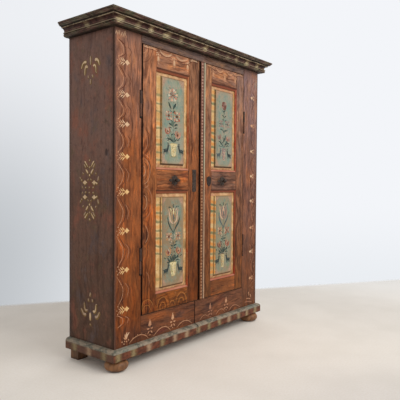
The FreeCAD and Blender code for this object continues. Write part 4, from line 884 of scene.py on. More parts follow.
    def build(self):
        bmesh.ops.recalc_face_normals(self.bm, faces=self.bm.faces)
        me = bpy.data.meshes.new(self.name)
        self.bm.to_mesh(me)
        self.bm.free()
        for paint in self.used:
            me.materials.append(PAINT[paint])
        o = bpy.data.objects.new(self.name, me)
        bpy.context.scene.collection.objects.link(o)
        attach(o, self.body)
        return o


def on_front(y):
    return lambda u, v, h: (u / 1000.0, y - h / 1000.0, v / 1000.0)


def on_left(u, v, h):
    return (-SIDE_X - h / 1000.0, -u / 1000.0, v / 1000.0)


def on_right(u, v, h):
    return (SIDE_X + h / 1000.0, -u / 1000.0, v / 1000.0)


# ---- front stiles: sprigs pointing inwards with scalloped arcs between them

def stile_ornament(name, sign, levels, strong):
    b = Brush(name, "carcass", "front_paint", on_front(FY))
    e = 675.0 * sign                       # outer edge
    inw = -sign                            # towards the doors
    for i, zc in enumerate(levels):
        if strong:
            p, q = ("cream", "cream") if zc < 1150 else ("cream_up", "cream_up")
        else:
            p, q = ("buff", "line") if i in (1, 5, 7) else ("cream_up", "line")
        k, r = (1.0, "buff") if strong else (0.8, "ghost")

        def S(*pts):
            return [(e + inw * ((84 if strong else 72) + k * (d - 84)), zc + k * v) for d, v in pts]
        (u, v), = S((87, 0))
        b.rhomb(p, u, v, 19 * k, 15.5 * k)
        b.stroke(p, S((72, 4), (63, 10), (53, 21)), 7.0 * k, "leaf")
        b.stroke(p, S((72, -4), (63, -10), (53, -21)), 7.0 * k, "leaf")
        b.stroke(q, S((60, 2), (50, 8), (40, 18)), 6.1 * k, "leaf")
        b.stroke(q, S((60, -2), (50, -8), (40, -18)), 6.1 * k, "leaf")
        b.stroke(r, S((47, 1), (38, 5), (29, 12)), 5.0 * k, "leaf")
        b.stroke(r, S((47, -1), (38, -5), (29, -12)), 5.0 * k, "leaf")
        for d, v, size in ((26, 22, 3.4), (24, -18, 3.4), (18, 2, 2.8)):
            (u, w), = S((d, v))
            b.dot(r, u, w, size * k)
    for za, zb in zip([1742] + levels, levels + [212]):
        hgt = za - zb
        pts = [(e + inw * 14, za - 22), (e + inw * 40, za - hgt * 0.30), (e + inw * 60, (za + zb) / 2 + 4),
               (e + inw * 52, zb + hgt * 0.30), (e + inw * 20, zb + 20)]
        b.stroke("trace" if strong else "ghost", pts, 3.2 if strong else 2.6, "soft", shake=1.5)
        pts2 = [(u + inw * (14 + 6 * math.sin(k * math.pi / 4)), v) for k, (u, v) in enumerate(pts)]
        b.stroke("umber", pts2[:3], 7.0 if strong else 4.5, "leaf", 0.25, 1.5)
        b.stroke("umber", pts2[2:], 6.0 if strong else 4.0, "leaf", 0.25, 1.5)
        if not strong:
            for _ in range(4):
                u, v = e + inw * rng.uniform(14, 84), za - hgt * rng.uniform(0.22, 0.78)
                b.stroke("line" if rng.random() < 0.4 else "ghost", [(u, v), (u + rng.uniform(-4, 4), v + rng.uniform(8, 20))], 3.4, "leaf", shake=1.0)
        if strong:
            pts3 = [(u + inw * (27 + 12 * math.sin(k * math.pi / 4)), v - 4) for k, (u, v) in enumerate(pts)]
            b.stroke("ghost", pts3[1:4], 3.6, "soft", 0.22, 1.5)
            pts4 = [(u + inw * (40 + 14 * math.sin(k * math.pi / 4)), v - 8) for k, (u, v) in enumerate(pts)]
            b.stroke("umber", pts4[1:4], 5.4, "leaf", 0.22, 1.5)
    # hatched zig-zag below the cornice
    p = "cream_up" if strong else "ghost"
    for k in range(6):
        u = e + inw * (6 + 13 * k)
        b.stroke(p, [(u, 1742 + rng.uniform(-6, 9)), (u + inw * rng.uniform(3, 13), 1764 + rng.uniform(-6, 8))], 4.4, "leaf", shake=1.5)
        b.stroke("line" if strong else "ghost", [(u + inw * 12, 1734 + rng.uniform(-8, 4)), (u + inw * rng.uniform(2, 8), 1752 + rng.uniform(-5, 6))], 3.6, "leaf", shake=1.5)
    b.build()


stile_ornament("sprigs_left_stile", -1, [1610, 1443, 1291, 1122, 938, 734, 528, 320], True)
stile_ornament("sprigs_right_stile", 1, [1590, 1395, 1215, 1040, 865, 675, 505, 315], False)


# ---- base boards and stile feet: swags and small plants

def base_ornament():
    b = Brush("swags_base", "carcass", "front_paint", on_front(FY))
    for pts in ([(-570, 128), (-545, 147), (-512, 158), (-480, 158), (-448, 147), (-425, 128)],
                [(-385, 126), (-350, 150), (-318, 161), (-285, 160), (-258, 146), (-240, 126)],
                [(-186, 130), (-160, 148), (-130, 157), (-98, 156), (-68, 145), (-45, 126)]):
        b.stroke("buff", pts, 3.6)
        b.stroke("shade", [(u, v - 8) for u, v in pts], 3.0, high=0.25)
        for u, v in pts[1:-1]:
            b.dot("line", u + 4, v + 7, 2.4)
    for pts in ([(28, 128), (60, 150), (92, 152), (122, 132)], [(196, 128), (232, 154), (270, 156), (302, 130)],
                [(345, 130), (382, 154), (428, 154), (480, 130)]):
        b.stroke("line", pts, 3.2)
        b.stroke("umber", [(u, v - 8) for u, v in pts], 3.0, high=0.25)
    # plant on the left stile
    for ang, ln, w in ((56, 38, 9), (84, 36, 9), (112, 32, 8), (150, 24, 7)):
        b.leaf("buff" if ang > 100 else "cream_up", -588, 160, ln, w, ang)
    for u, v in ((-602, 150), (-588, 146), (-574, 152), (-620, 150), (-606, 137)):
        b.dot("buff", u, v, 4.0)
    # sprigs on the base boards
    for c, z, p in ((-412, 200, "line"), (-222, 198, "buff"), (138, 190, "ghost"), (312, 200, "line")):
        b.stroke(p, [(c - 12, z - 8), (c, z + 18), (c + 11, z - 6)], 9, "leaf")
        b.rhomb(p, c, z, 12, 16)
        b.drop(p, c, z + 22, 16, 8)
        for du in (-1, 1):
            b.stroke(p, [(c + du * 5, z - 20), (c + du * 15, z - 24), (c + du * 23, z - 18)], 9, "leaf")
            b.stroke(p, [(c + du * 5, z - 36), (c + du * 13, z - 44), (c + du * 18, z - 52)], 8, "leaf")
        b.dot(p, c, z - 58, 3.6)
    # right stile foot
    b.drop("buff", 585, 205, 26, 10)
    b.stroke("buff", [(603, 200), (612, 187), (614, 172)], 8, "leaf")
    b.stroke("line", [(555, 174), (585, 172), (612, 164)], 5)
    b.stroke("ghost", [(535, 152), (580, 150), (628, 140)], 5)
    b.build()


base_ornament()


# ---- doors: swags on the top rails, traced arcs of the graining

def tassel(b, u, v, s, p, q):
    """Hanging tassel with its top at v."""
    b.dot(p, u, v, 4.6 * s)
    for du, w in ((-9, 6.5), (0, 8.0), (9, 6.5)):
        b.stroke(p if du == 0 else q, [(u + du * 0.35 * s, v - 8 * s), (u + du * 0.8 * s, v - 24 * s), (u + du * s, v - 40 * s)], w * s, "leaf", shake=1.2)
    for du in (-1, 1):
        b.stroke(q, [(u + du * 5 * s, v - 4 * s), (u + du * 15 * s, v - 2 * s), (u + du * 19 * s, v - 12 * s)], 5.0 * s, "leaf")
    b.dot(q, u, v - 48 * s, 3.2 * s)


def door_top(name, body, swags, tassels, dots, p, q):
    b = Brush(name, body, "front_paint", on_front(FY))
    for pts in swags:
        b.stroke(p, pts, 3.6)
        b.stroke("shade", [(u, v - 8) for u, v in pts], 2.8, high=0.25)
        for u, v in spline(pts, 3)[1:-1]:
            b.dot(p, u, v + 6, 2.6)
    for u, v, s in tassels:
        tassel(b, u, v, s, p, q)
    for u, v, r in dots:
        b.dot(p, u, v, r)
    b.build()


door_top("swags_left_door", "left_door",
         [[(-470, 1724), (-436, 1722), (-400, 1724), (-366, 1718)], [(-345, 1722), (-318, 1709), (-290, 1704), (-264, 1709), (-238, 1722)],
          [(-212, 1722), (-184, 1708), (-156, 1703), (-126, 1710), (-98, 1722)], [(-78, 1718), (-44, 1724), (-8, 1722)]],
         [(-354, 1700, 1.0), (-222, 1702, 1.05), (-102, 1700, 1.0)], [(-366, 1708, 4), (-90, 1708, 4)], "cream_up", "buff")
door_top("swags_right_door", "right_door",
         [[(88, 1722), (120, 1724), (156, 1716)], [(176, 1720), (206, 1706), (236, 1706), (262, 1720)],
          [(290, 1722), (316, 1706), (346, 1707), (374, 1720)], [(400, 1712), (440, 1722), (484, 1722)]],
         [(152, 1700, 0.95), (276, 1700, 1.0), (394, 1698, 0.9)], [(166, 1722, 4), (386, 1718, 4)], "buff", "line")


def combed_arcs():
    """Light and dark combed arcs on the left door's stile and bottom rail."""
    b = Brush("combed_arcs_left_door", "left_door", "front_paint", on_front(FY))

    def fan(cx, cz, radii, a0, a1, paints, w=3.2):
        for k, r in enumerate(radii):
            pts = [(cx + r * math.cos(math.radians(a)), cz + 1.25 * r * math.sin(math.radians(a)))
                   for a in [a0 + (a1 - a0) * i / 6 for i in range(7)]]
            pts = [(max(-473, min(p[0], -366)), max(268, p[1])) for p in pts]
            b.stroke(paints[k % len(paints)], pts, w, "soft", 0.25, 1.2)

    fan(-480, 1738, (44, 62, 82), -88, -6, ("line", "ghost", "shade"), 4.0)
    fan(-480, 1212, (44, 60, 76), -62, 62, ("ghost", "shade", "ghost"), 5.0)
    fan(-474, 1050, (22, 40, 58, 76), -80, 80, ("line", "shade", "line"), 4.4)
    fan(-474, 880, (34, 54, 74), -70, 70, ("line", "shade", "ghost"), 4.0)
    fan(-474, 705, (24, 44, 64), -60, 60, ("shade", "line", "shade"), 4.0)
    fan(-474, 440, (40, 54, 68), -20, 60, ("shade", "ghost"))
    fan(-440, 270, (22, 34, 46, 58), 12, 168, ("shade", "amber"))
    b.build()
    b = Brush("combed_arcs_left_rail", "left_door", "front_paint", on_front(FY))

    def low(cx, radii):
        for k, r in enumerate(radii):
            pts = [(cx + r * math.cos(math.radians(a)), 272 + 1.35 * r * math.sin(math.radians(a))) for a in range(10, 171, 20)]
            b.stroke(("shade", "amber")[k % 2], pts, 2.7, "soft", 0.25, 1.2)

    low(-310, (14, 25, 36, 47))
    low(-228, (12, 22, 32))
    low(-148, (14, 25, 36, 47))
    b.build()


combed_arcs()


# ---- panels: a vase of flowers between two small beasts

def ring(b, u, v, r, petals, n, inner=0.45, fat=0.5, high=0.3, turn=0.2, tall=1.0):
    """Ring of separate petals, jittered as by hand."""
    for k in range(n):
        t = TAU * (k + turn) / n + rng.uniform(-0.10, 0.10)
        ln = rng.uniform(0.86, 1.08)
        c, s = math.cos(t), math.sin(t) * tall
        mid = (inner + ln) / 2
        b.stroke(petals[k % len(petals)], [(u + r * inner * c, v + r * inner * s), (u + r * mid * c, v + r * mid * s),
                                           (u + r * ln * c, v + r * ln * s)], r * fat * rng.uniform(0.85, 1.15), "drop", high, 0.7)


def square_flower(b, u, v, r, petals, core, spark):
    """Squarish blossom: fat corner petals, small ones between, dark heart."""
    for k in range(8):
        t = TAU * k / 8 + math.pi / 8 + rng.uniform(-0.08, 0.08)
        q = 1.16 if k % 2 == 0 else 0.92
        c, s = math.cos(t - math.pi / 8 + math.pi / 4), math.sin(t - math.pi / 8 + math.pi / 4)
        b.stroke(petals[k % len(petals)], [(u + r * 0.42 * c, v + r * 0.42 * s), (u + r * q * 0.75 * c, v + r * q * 0.75 * s),
                                           (u + r * q * c, v + r * q * s)], r * 0.56, "drop", 0.3, 0.8)
    for k in range(4):
        t = TAU * k / 4 + rng.uniform(-0.3, 0.3)
        b.stroke(spark, [(u + r * 0.5 * math.cos(t), v + r * 0.5 * math.sin(t)), (u + r * 0.84 * math.cos(t), v + r * 0.84 * math.sin(t))],
                 r * 0.16, "leaf", 0.55, 0.4)
    b.dot(core, u, v, r * 0.36, 0.9, 0.55)
    b.dot("red", u + 1.0, v + 1.0, r * 0.15, 1.0, 0.75)


def bud(b, u, v, s, petals, core, tilt=0.0):
    """Half-open bud, s high, opening upwards."""
    c, sn = math.cos(math.radians(tilt)), math.sin(math.radians(tilt))

    def w(*pts):
        return [(u + (x * c - y * sn) * s, v + (x * sn + y * c) * s) for x, y in pts]
    b.stroke(petals[0], w((0.0, -0.5), (-0.40, -0.2), (-0.46, 0.2), (-0.30, 0.5)), 0.26 * s, "leaf", 0.3)
    b.stroke(petals[0], w((0.0, -0.5), (0.40, -0.2), (0.46, 0.2), (0.30, 0.5)), 0.26 * s, "leaf", 0.3)
    b.stroke(petals[1], w((-0.06, -0.42), (-0.14, 0.0), (-0.06, 0.46)), 0.22 * s, "leaf", 0.38)
    b.stroke(petals[-1], w((0.1, -0.40), (0.16, 0.05), (0.12, 0.40)), 0.20 * s, "leaf", 0.42)
    (cu, cv), = w((0.02, -0.08))
    b.dot(core, cu, cv, 0.16 * s, 1.2, 0.6)
    b.stroke(core, w((-0.30, -0.24), (-0.36, 0.06), (-0.30, 0.26)), 0.08 * s, "leaf", 0.55)


def beast(b, u, v, face, paint="beast"):
    """Small standing animal beside the vase; u, v is its head, its body lies towards face (-1 left, 1 right)."""
    f = face
    b.blob(paint, [(u + f * 2, v - 20), (u + f * 12, v - 23), (u + f * 24, v - 24), (u + f * 36, v - 27), (u + f * 41, v - 36),
                   (u + f * 34, v - 46), (u + f * 18, v - 44), (u + f * 4, v - 38), (u - f * 1, v - 29)], 0.42)
    b.stroke(paint, [(u + f * 8, v - 34), (u + f * 3, v - 18), (u + f * 1, v - 3)], 13, "even", 0.46)
    b.stroke(paint, [(u + f * 5, v - 1), (u - f * 10, v - 7)], 9, "comma", 0.5)
    b.stroke(paint, [(u + f * 3, v + 1), (u + f * 7, v + 12)], 4.5, "leaf", 0.5)
    b.stroke(paint, [(u - f * 2, v + 1), (u - f * 1, v + 11)], 4.5, "leaf", 0.5)
    b.stroke(paint, [(u + f * 36, v - 38), (u + f * 39, v - 50), (u + f * 35, v - 60)], 7.5, "comma", 0.5)
    b.stroke(paint, [(u + f * 29, v - 40), (u + f * 28, v - 56)], 7, "comma", 0.5)
    b.stroke(paint, [(u + f * 6, v - 36), (u + f * 4, v - 56)], 7, "comma", 0.5)
    b.stroke(paint, [(u + f * 13, v - 38), (u + f * 15, v - 50), (u + f * 11, v - 58)], 6, "comma", 0.5)
    b.stroke(paint, [(u + f * 39, v - 32), (u + f * 47, v - 27)], 5, "leaf", 0.5)
    b.stroke("slate", [(u + f * 10, v - 29), (u + f * 22, v - 31), (u + f * 32, v - 34)], 4.0, "leaf", 0.62)
    b.dot("leaf_pale", u - f * 0.5, v - 3, 1.3, 1.0, 0.75)


def vase(b, u, top, low, wt, wl, light, mid, dark):
    """Tapered pot with a rim, brushed bands and a small foot."""
    h = top - low
    b.blob(light, [(u - wt, top), (u, top + 1), (u + wt, top), (u + wt * 0.86, top - h * 0.22), (u + (wt * 0.45 + wl * 0.55), top - h * 0.6), (u + wl, low),
                   (u, low - 1), (u - wl, low), (u - (wt * 0.45 + wl * 0.55), top - h * 0.6), (u - wt * 0.86, top - h * 0.22)], 0.3, 0.8)
    b.stroke(dark, [(u - wt * 0.98, top - 1), (u - wt * 0.4, top + 2.5), (u + wt * 0.3, top + 1), (u + wt * 0.98, top - 1)], 4.2, "even", 0.5, 0.8)
    b.stroke(mid, [(u - wt * 0.10, top - 6), (u - wt * 0.16, top - h * 0.5), (u - wt * 0.1, low + 5)], wl * 0.55, "leaf", 0.42)
    b.stroke(mid, [(u + wt * 0.55, top - 8), (u + wl * 0.8, top - h * 0.5), (u + wl * 0.62, low + 6)], wl * 0.34, "leaf", 0.44)
    b.stroke(dark, [(u - wt * 0.66, top - 9), (u - wl * 0.9, top - h * 0.45), (u - wl * 0.74, top - h * 0.7)], wl * 0.3, "leaf", 0.44)
    for q, w in ((0.30, 3.0), (0.62, 2.6)):
        k = wt * (1 - q) + wl * q
        b.stroke(mid, [(u - k * 0.86, top - h * q + 1), (u, top - h * q - 1), (u + k * 0.86, top - h * q + 1)], w, "soft", 0.5, 1.0)
    for q in (0.12, 0.24, 0.36, 0.46, 0.56, 0.68, 0.80, 0.9):
        k = wt * (1 - q) + wl * q
        b.dot(dark, u + k * rng.uniform(-0.75, 0.0), top - h * q, 3.4, 0.7, 0.56)
        b.dot("white", u + k * rng.uniform(-0.1, 0.75), top - h * (q + 0.03), 3.2, 0.7, 0.6)
    for n in range(12):
        q, a = rng.uniform(0.08, 0.9), rng.uniform(-0.8, 0.7)
        k = wt * (1 - q) + wl * q
        b.stroke((dark, "orange", mid, "white")[n % 4], [(u + k * a, top - h * q), (u + k * a + rng.uniform(2, 7), top - h * q - rng.uniform(3, 9))],
                 4.4, "leaf", 0.64, 0.6)
    b.stroke(mid, [(u - wl * 1.12, low + 1), (u, low - 2), (u + wl * 1.12, low + 1)], 4.4, "even", 0.5)


def sprays(b, o, items, paint="leaf"):
    for u, v, ln, w, ang in items:
        b.leaf(paint, u + o, v, ln, w, ang, rng.uniform(-0.2, 0.2), 0.42)


def upper_left():
    b = Brush("flowers_left_upper", "left_door", "panel_paint", on_front(FIELD_Y))
    b.stroke("leaf_mid", [(-222, 1216), (-221, 1290), (-226, 1360), (-228, 1450)], 4.0, "even", 0.25)
    # crown flower: two rings of loose petals with dark dashes round it
    ring(b, -232, 1493, 40, ["peach", "peach", "white", "pink"], 12, 0.52, 0.40)
    ring(b, -232, 1493, 23, ["red", "pink", "red", "wine"], 7, 0.30, 0.46, 0.5)
    ring(b, -232, 1493, 46, ["brown", "ink"], 11, 0.84, 0.09, 0.5, 0.6)
    b.dot("brown", -232, 1493, 7.0, 1.0, 0.7)
    b.dot("peach", -233, 1495, 3.0, 1.0, 0.85)
    b.stroke("leaf", [(-266, 1450), (-256, 1430), (-241, 1411)], 15, "leaf")
    b.stroke("leaf", [(-203, 1448), (-214, 1430), (-229, 1413)], 15, "leaf")
    b.stroke("leaf", [(-210, 1408), (-220, 1398), (-232, 1392)], 8, "leaf")
    b.stroke("leaf_mid", [(-256, 1408), (-246, 1400), (-234, 1396)], 6, "leaf")
    square_flower(b, -264, 1373, 27, ["pink", "red", "peach", "red"], "brown", "white")
    square_flower(b, -194, 1373, 30, ["pink", "peach", "red", "orange"], "brown", "white")
    b.stroke("red", [(-286, 1354), (-270, 1348), (-250, 1354)], 6, "leaf", 0.5)
    b.stroke("red", [(-214, 1350), (-196, 1344), (-176, 1350)], 5, "leaf", 0.5)
    # fan of leaves
    for ang, ln, w in ((64, 30, 12), (90, 34, 13), (116, 30, 12)):
        b.leaf("leaf_mid", -227, 1312, ln, w, ang)
    sprays(b, 0, [(-238, 1318, 28, 11, 158), (-216, 1316, 32, 12, 18), (-240, 1304, 22, 7, 172), (-214, 1302, 24, 7, 6),
                  (-232, 1334, 24, 6, 140), (-218, 1336, 22, 6, 42)])
    bud(b, -273, 1285, 40, ["red", "pink", "peach"], "brown", 14)
    bud(b, -186, 1268, 44, ["pink", "red", "orange"], "brown", -12)
    b.stroke("leaf", [(-226, 1222), (-250, 1246), (-270, 1262)], 5, "soft")
    b.stroke("leaf", [(-220, 1222), (-204, 1236), (-190, 1246)], 5, "soft")
    b.stroke("leaf_mid", [(-224, 1222), (-242, 1262), (-246, 1290)], 4.5, "soft")
    b.stroke("leaf_mid", [(-220, 1222), (-208, 1262), (-206, 1292)], 4.5, "soft")
    sprays(b, 0, [(-232, 1226, 40, 9, 160), (-250, 1240, 32, 8, 176), (-216, 1228, 38, 9, 18), (-204, 1238, 32, 8, 4), (-224, 1226, 30, 8, 112),
                  (-221, 1228, 32, 8, 64), (-244, 1262, 20, 7, 30), (-208, 1262, 18, 7, 150), (-176, 1240, 18, 6, 40), (-262, 1236, 16, 6, 200)])
    sprays(b, 0, [(-258, 1248, 16, 5, 70), (-198, 1228, 18, 5, 60), (-236, 1284, 16, 5, 110), (-212, 1280, 14, 5, 70), (-268, 1226, 14, 6, 170)], "leaf_pale")
    for u, v in ((-252, 1230), (-196, 1252), (-232, 1268), (-168, 1232), (-284, 1246), (-228, 1300)):
        b.dot("white", u, v, 2.6)
    vase(b, -221, 1214, 1140, 30, 17, "yellow", "olive", "straw")
    beast(b, -266, 1207, -1)
    beast(b, -177, 1207, 1)
    b.build()


def upper_right():
    b = Brush("flowers_right_upper", "right_door", "panel_paint", on_front(FIELD_Y))
    b.stroke("leaf_mid", [(272, 1216), (274, 1290), (270, 1370), (273, 1470)], 4.0, "even", 0.25)
    ring(b, 273, 1493, 28, ["wine", "rose", "wine", "wine"], 9, 0.3, 0.66)
    b.dot("wine", 273, 1493, 10, 1.0, 0.5)
    b.dot("rose", 270, 1496, 4, 1.0, 0.7)
    sprays(b, 0, [(272, 1450, 20, 8, 140), (274, 1452, 20, 8, 40), (272, 1420, 24, 9, 150), (275, 1418, 26, 9, 34), (271, 1400, 18, 7, 165),
                  (276, 1398, 22, 7, 12), (273, 1436, 16, 6, 90)])
    square_flower(b, 240, 1376, 24, ["mauve", "rose", "mauve", "leaf_mid"], "slate", "rose")
    square_flower(b, 312, 1376, 25, ["mauve", "mauve", "rose", "leaf_mid"], "slate", "pink")
    b.stroke("pink", [(254, 1368), (262, 1360), (266, 1352)], 8, "leaf", 0.5)
    sprays(b, 0, [(268, 1330, 36, 9, 164), (276, 1330, 38, 9, 14), (270, 1318, 28, 8, 130), (275, 1318, 28, 8, 52), (248, 1342, 18, 6, 190)], "leaf_soft")
    bud(b, 226, 1288, 36, ["rose", "mauve", "wine"], "wine", 16)
    bud(b, 318, 1278, 40, ["rose", "pink", "mauve"], "wine", -14)
    # crossing dark sprays
    b.stroke("leaf", [(214, 1262), (240, 1254), (258, 1236), (268, 1222)], 7, "soft")
    b.stroke("leaf", [(296, 1306), (284, 1284), (268, 1262), (252, 1248)], 7, "soft")
    b.stroke("leaf", [(332, 1252), (308, 1250), (288, 1238), (276, 1222)], 7, "soft")
    sprays(b, 0, [(262, 1240, 40, 9, 150), (280, 1240, 44, 9, 30), (268, 1262, 34, 8, 112), (278, 1262, 32, 8, 62), (240, 1250, 22, 7, 100), (304, 1248, 24, 7, 80),
                  (250, 1226, 34, 8, 176), (294, 1228, 36, 8, 6)], "leaf_soft")
    sprays(b, 0, [(292, 1262, 26, 7, 20), (310, 1240, 22, 6, 30), (236, 1270, 18, 6, 160)], "leaf_mid")
    sprays(b, 0, [(262, 1286, 16, 5, 130), (284, 1300, 16, 5, 60), (246, 1236, 14, 5, 190), (318, 1262, 14, 5, 10)], "leaf_pale")
    vase(b, 274, 1213, 1142, 23, 14, "mauve", "peach", "rose")
    beast(b, 238, 1207, -1, "slate")
    beast(b, 312, 1207, 1, "beast")
    b.build()


def lower_panel(name, body, o, look):
    """o shifts the left door's drawing; look is 'left' or 'right'."""
    b = Brush(name, body, "panel_paint", on_front(FIELD_Y))
    left = look == "left"

    def T(*pts):
        return [(u + o, v) for u, v in pts]
    b.stroke("leaf_mid", T((-220, 530), (-222, 620), (-220, 760)), 4.0, "even", 0.25)
    # large tulip: peach side petals, cream heart, dark inner stripes
    side1, side2 = ("peach", "peach") if left else ("peach", "rose")
    p1, p2, p3 = ("peach", "straw", "orange") if left else ("rose", "mauve", "pink")
    b.stroke(side1, T((-221, 750), (-245, 768), (-252, 800), (-262, 838)), 12, "leaf", 0.3)
    b.stroke(side2, T((-217, 750), (-193, 768), (-187, 800), (-178, 838)), 12, "leaf", 0.3)
    b.stroke(p2, T((-224, 760), (-238, 784), (-240, 812), (-246, 836)), 9, "leaf", 0.36)
    b.stroke(p2, T((-214, 760), (-201, 784), (-199, 812), (-194, 836)), 9, "leaf", 0.36)
    b.stroke(p3, T((-222, 762), (-230, 792), (-230, 822)), 7, "leaf", 0.42)
    b.stroke(p3, T((-216, 762), (-209, 792), (-208, 822)), 7, "leaf", 0.42)
    b.stroke("brown", T((-236, 772), (-240, 796), (-243, 820)), 4, "leaf", 0.5)
    b.stroke("brown", T((-204, 772), (-199, 796), (-196, 820)), 4, "leaf", 0.5)
    b.stroke("slate", T((-226, 764), (-225, 786), (-222, 806)), 6, "leaf", 0.5)
    b.stroke("slate" if left else "mauve", T((-211, 764), (-212, 786), (-214, 806)), 9, "leaf", 0.5)
    b.stroke("yellow" if left else "peach", T((-219, 804), (-219, 820), (-218, 842)), 13, "leaf", 0.5)
    b.stroke("yellow" if left else "rose", T((-238, 822), (-242, 832), (-250, 842)), 8, "leaf", 0.5)
    b.stroke(p1, T((-200, 822), (-196, 832), (-188, 842)), 8, "leaf", 0.5)
    b.stroke("ink", T((-219, 758), (-219, 778), (-219, 798)), 4.0, "leaf", 0.6)
    b.dot("wine", -228 + o, 826, 3.4, 1.3, 0.66)
    b.dot("wine", -209 + o, 828, 3.4, 1.3, 0.66)
    for u, v, ln, w, ang in ((-218, 842, 24, 7, 92), (-238, 838, 22, 6, 132), (-200, 838, 22, 6, 46), (-252, 846, 14, 5, 160), (-184, 846, 14, 5, 20)):
        b.leaf("leaf", u + o, v, ln, w, ang)
    # V of long leaves
    long_leaf = "leaf" if left else "slate"
    b.stroke(long_leaf, T((-270, 790), (-262, 758), (-244, 728), (-219, 698)), 12, "leaf", 0.4)
    b.stroke(long_leaf, T((-164, 786), (-176, 756), (-198, 728), (-219, 698)), 12, "leaf", 0.4)
    b.stroke("leaf_mid", T((-270, 802), (-267, 786), (-262, 770)), 6, "leaf", 0.4)
    b.stroke("leaf_mid", T((-160, 802), (-164, 786), (-170, 770)), 6, "leaf", 0.4)
    # flowers at two levels
    square_flower(b, -257 + o, 677, 24, ["orange", "peach", "pink", "peach"] if left else ["orange", "red", "peach", "orange"], "wine", "white")
    square_flower(b, -178 + o, 677, 24, ["orange", "pink", "peach", "orange"] if left else ["red", "wine", "red", "pink"], "wine", "peach")
    for u, v, ln, w, ang in ((-222, 664, 26, 8, 150), (-216, 664, 26, 8, 34), (-222, 690, 18, 6, 120), (-216, 690, 18, 6, 60)):
        b.leaf("leaf_mid", u + o, v, ln, w, ang)
    b.stroke("white", T((-210, 690), (-205, 674), (-208, 658)), 6, "leaf", 0.45)
    b.stroke("white", T((-232, 652), (-238, 642), (-248, 638)), 5, "leaf", 0.45)
    for u, v, ln, w, ang in ((-220, 620, 24, 10, 156), (-217, 618, 28, 10, 14), (-224, 610, 20, 8, 186), (-214, 608, 20, 8, -10), (-219, 626, 20, 8, 90),
                             (-232, 640, 22, 6, 164), (-204, 638, 24, 6, 20)):
        b.leaf("leaf", u + o, v, ln, w, ang)
    bud(b, -260 + o, 588, 42, ["orange", "red", "peach"] if left else ["wine", "red", "orange"], "wine", 22)
    bud(b, -174 + o, 590, 40, ["red", "orange", "peach"] if left else ["red", "pink", "wine"], "wine", -22)
    b.stroke("leaf", T((-268, 564), (-250, 556), (-232, 536)), 6, "soft")
    b.stroke("leaf", T((-168, 566), (-190, 556), (-210, 536)), 6, "soft")
    for u, v, ln, w, ang in ((-230, 534, 46, 9, 158), (-212, 534, 46, 9, 24), (-226, 536, 40, 8, 128), (-214, 536, 40, 8, 54), (-220, 536, 34, 9, 92),
                             (-244, 532, 30, 8, 180), (-198, 532, 30, 8, 0), (-240, 556, 22, 7, 60), (-202, 558, 20, 7, 122), (-282, 552, 18, 6, 150),
                             (-156, 554, 16, 6, 30), (-236, 576, 18, 6, 84), (-206, 578, 18, 6, 98)):
        b.leaf("leaf", u + o, v, ln, w, ang)
    for u, v, ln, w, ang in ((-254, 548, 16, 5, 80), (-188, 548, 16, 5, 104), (-228, 568, 16, 5, 110), (-212, 566, 16, 5, 66), (-226, 600, 14, 5, 120)):
        b.leaf("leaf_pale", u + o, v, ln, w, ang)
    for u, v, ln, w, ang in ((-222, 530, 52, 7, 148), (-216, 530, 52, 7, 34), (-221, 532, 50, 7, 112), (-217, 532, 50, 7, 70), (-240, 540, 26, 6, 104),
                             (-200, 540, 26, 6, 78), (-256, 540, 22, 6, 128), (-186, 540, 22, 6, 52)):
        b.leaf("leaf" if ln > 30 else "leaf_soft", u + o, v, ln, w, ang)
    for u, v in ((-246, 566), (-192, 570), (-232, 590), (-208, 594), (-272, 546), (-164, 542)):
        b.dot("white", u + o, v, 2.4)
    if left:
        vase(b, -219, 526, 446, 29, 17, "yellow", "straw", "olive")
    else:
        vase(b, -225 + o, 522, 440, 21, 14, "straw", "yellow", "brown")
    beast(b, (-260 if left else -262) + o, 516, -1)
    beast(b, (-178 if left else -184) + o, 515, 1)
    b.build()


upper_left()
upper_right()
lower_panel("flowers_left_lower", "left_door", 0, "left")
lower_panel("flowers_right_lower", "right_door", 494, "right")


# ---- sides: three stencilled motifs

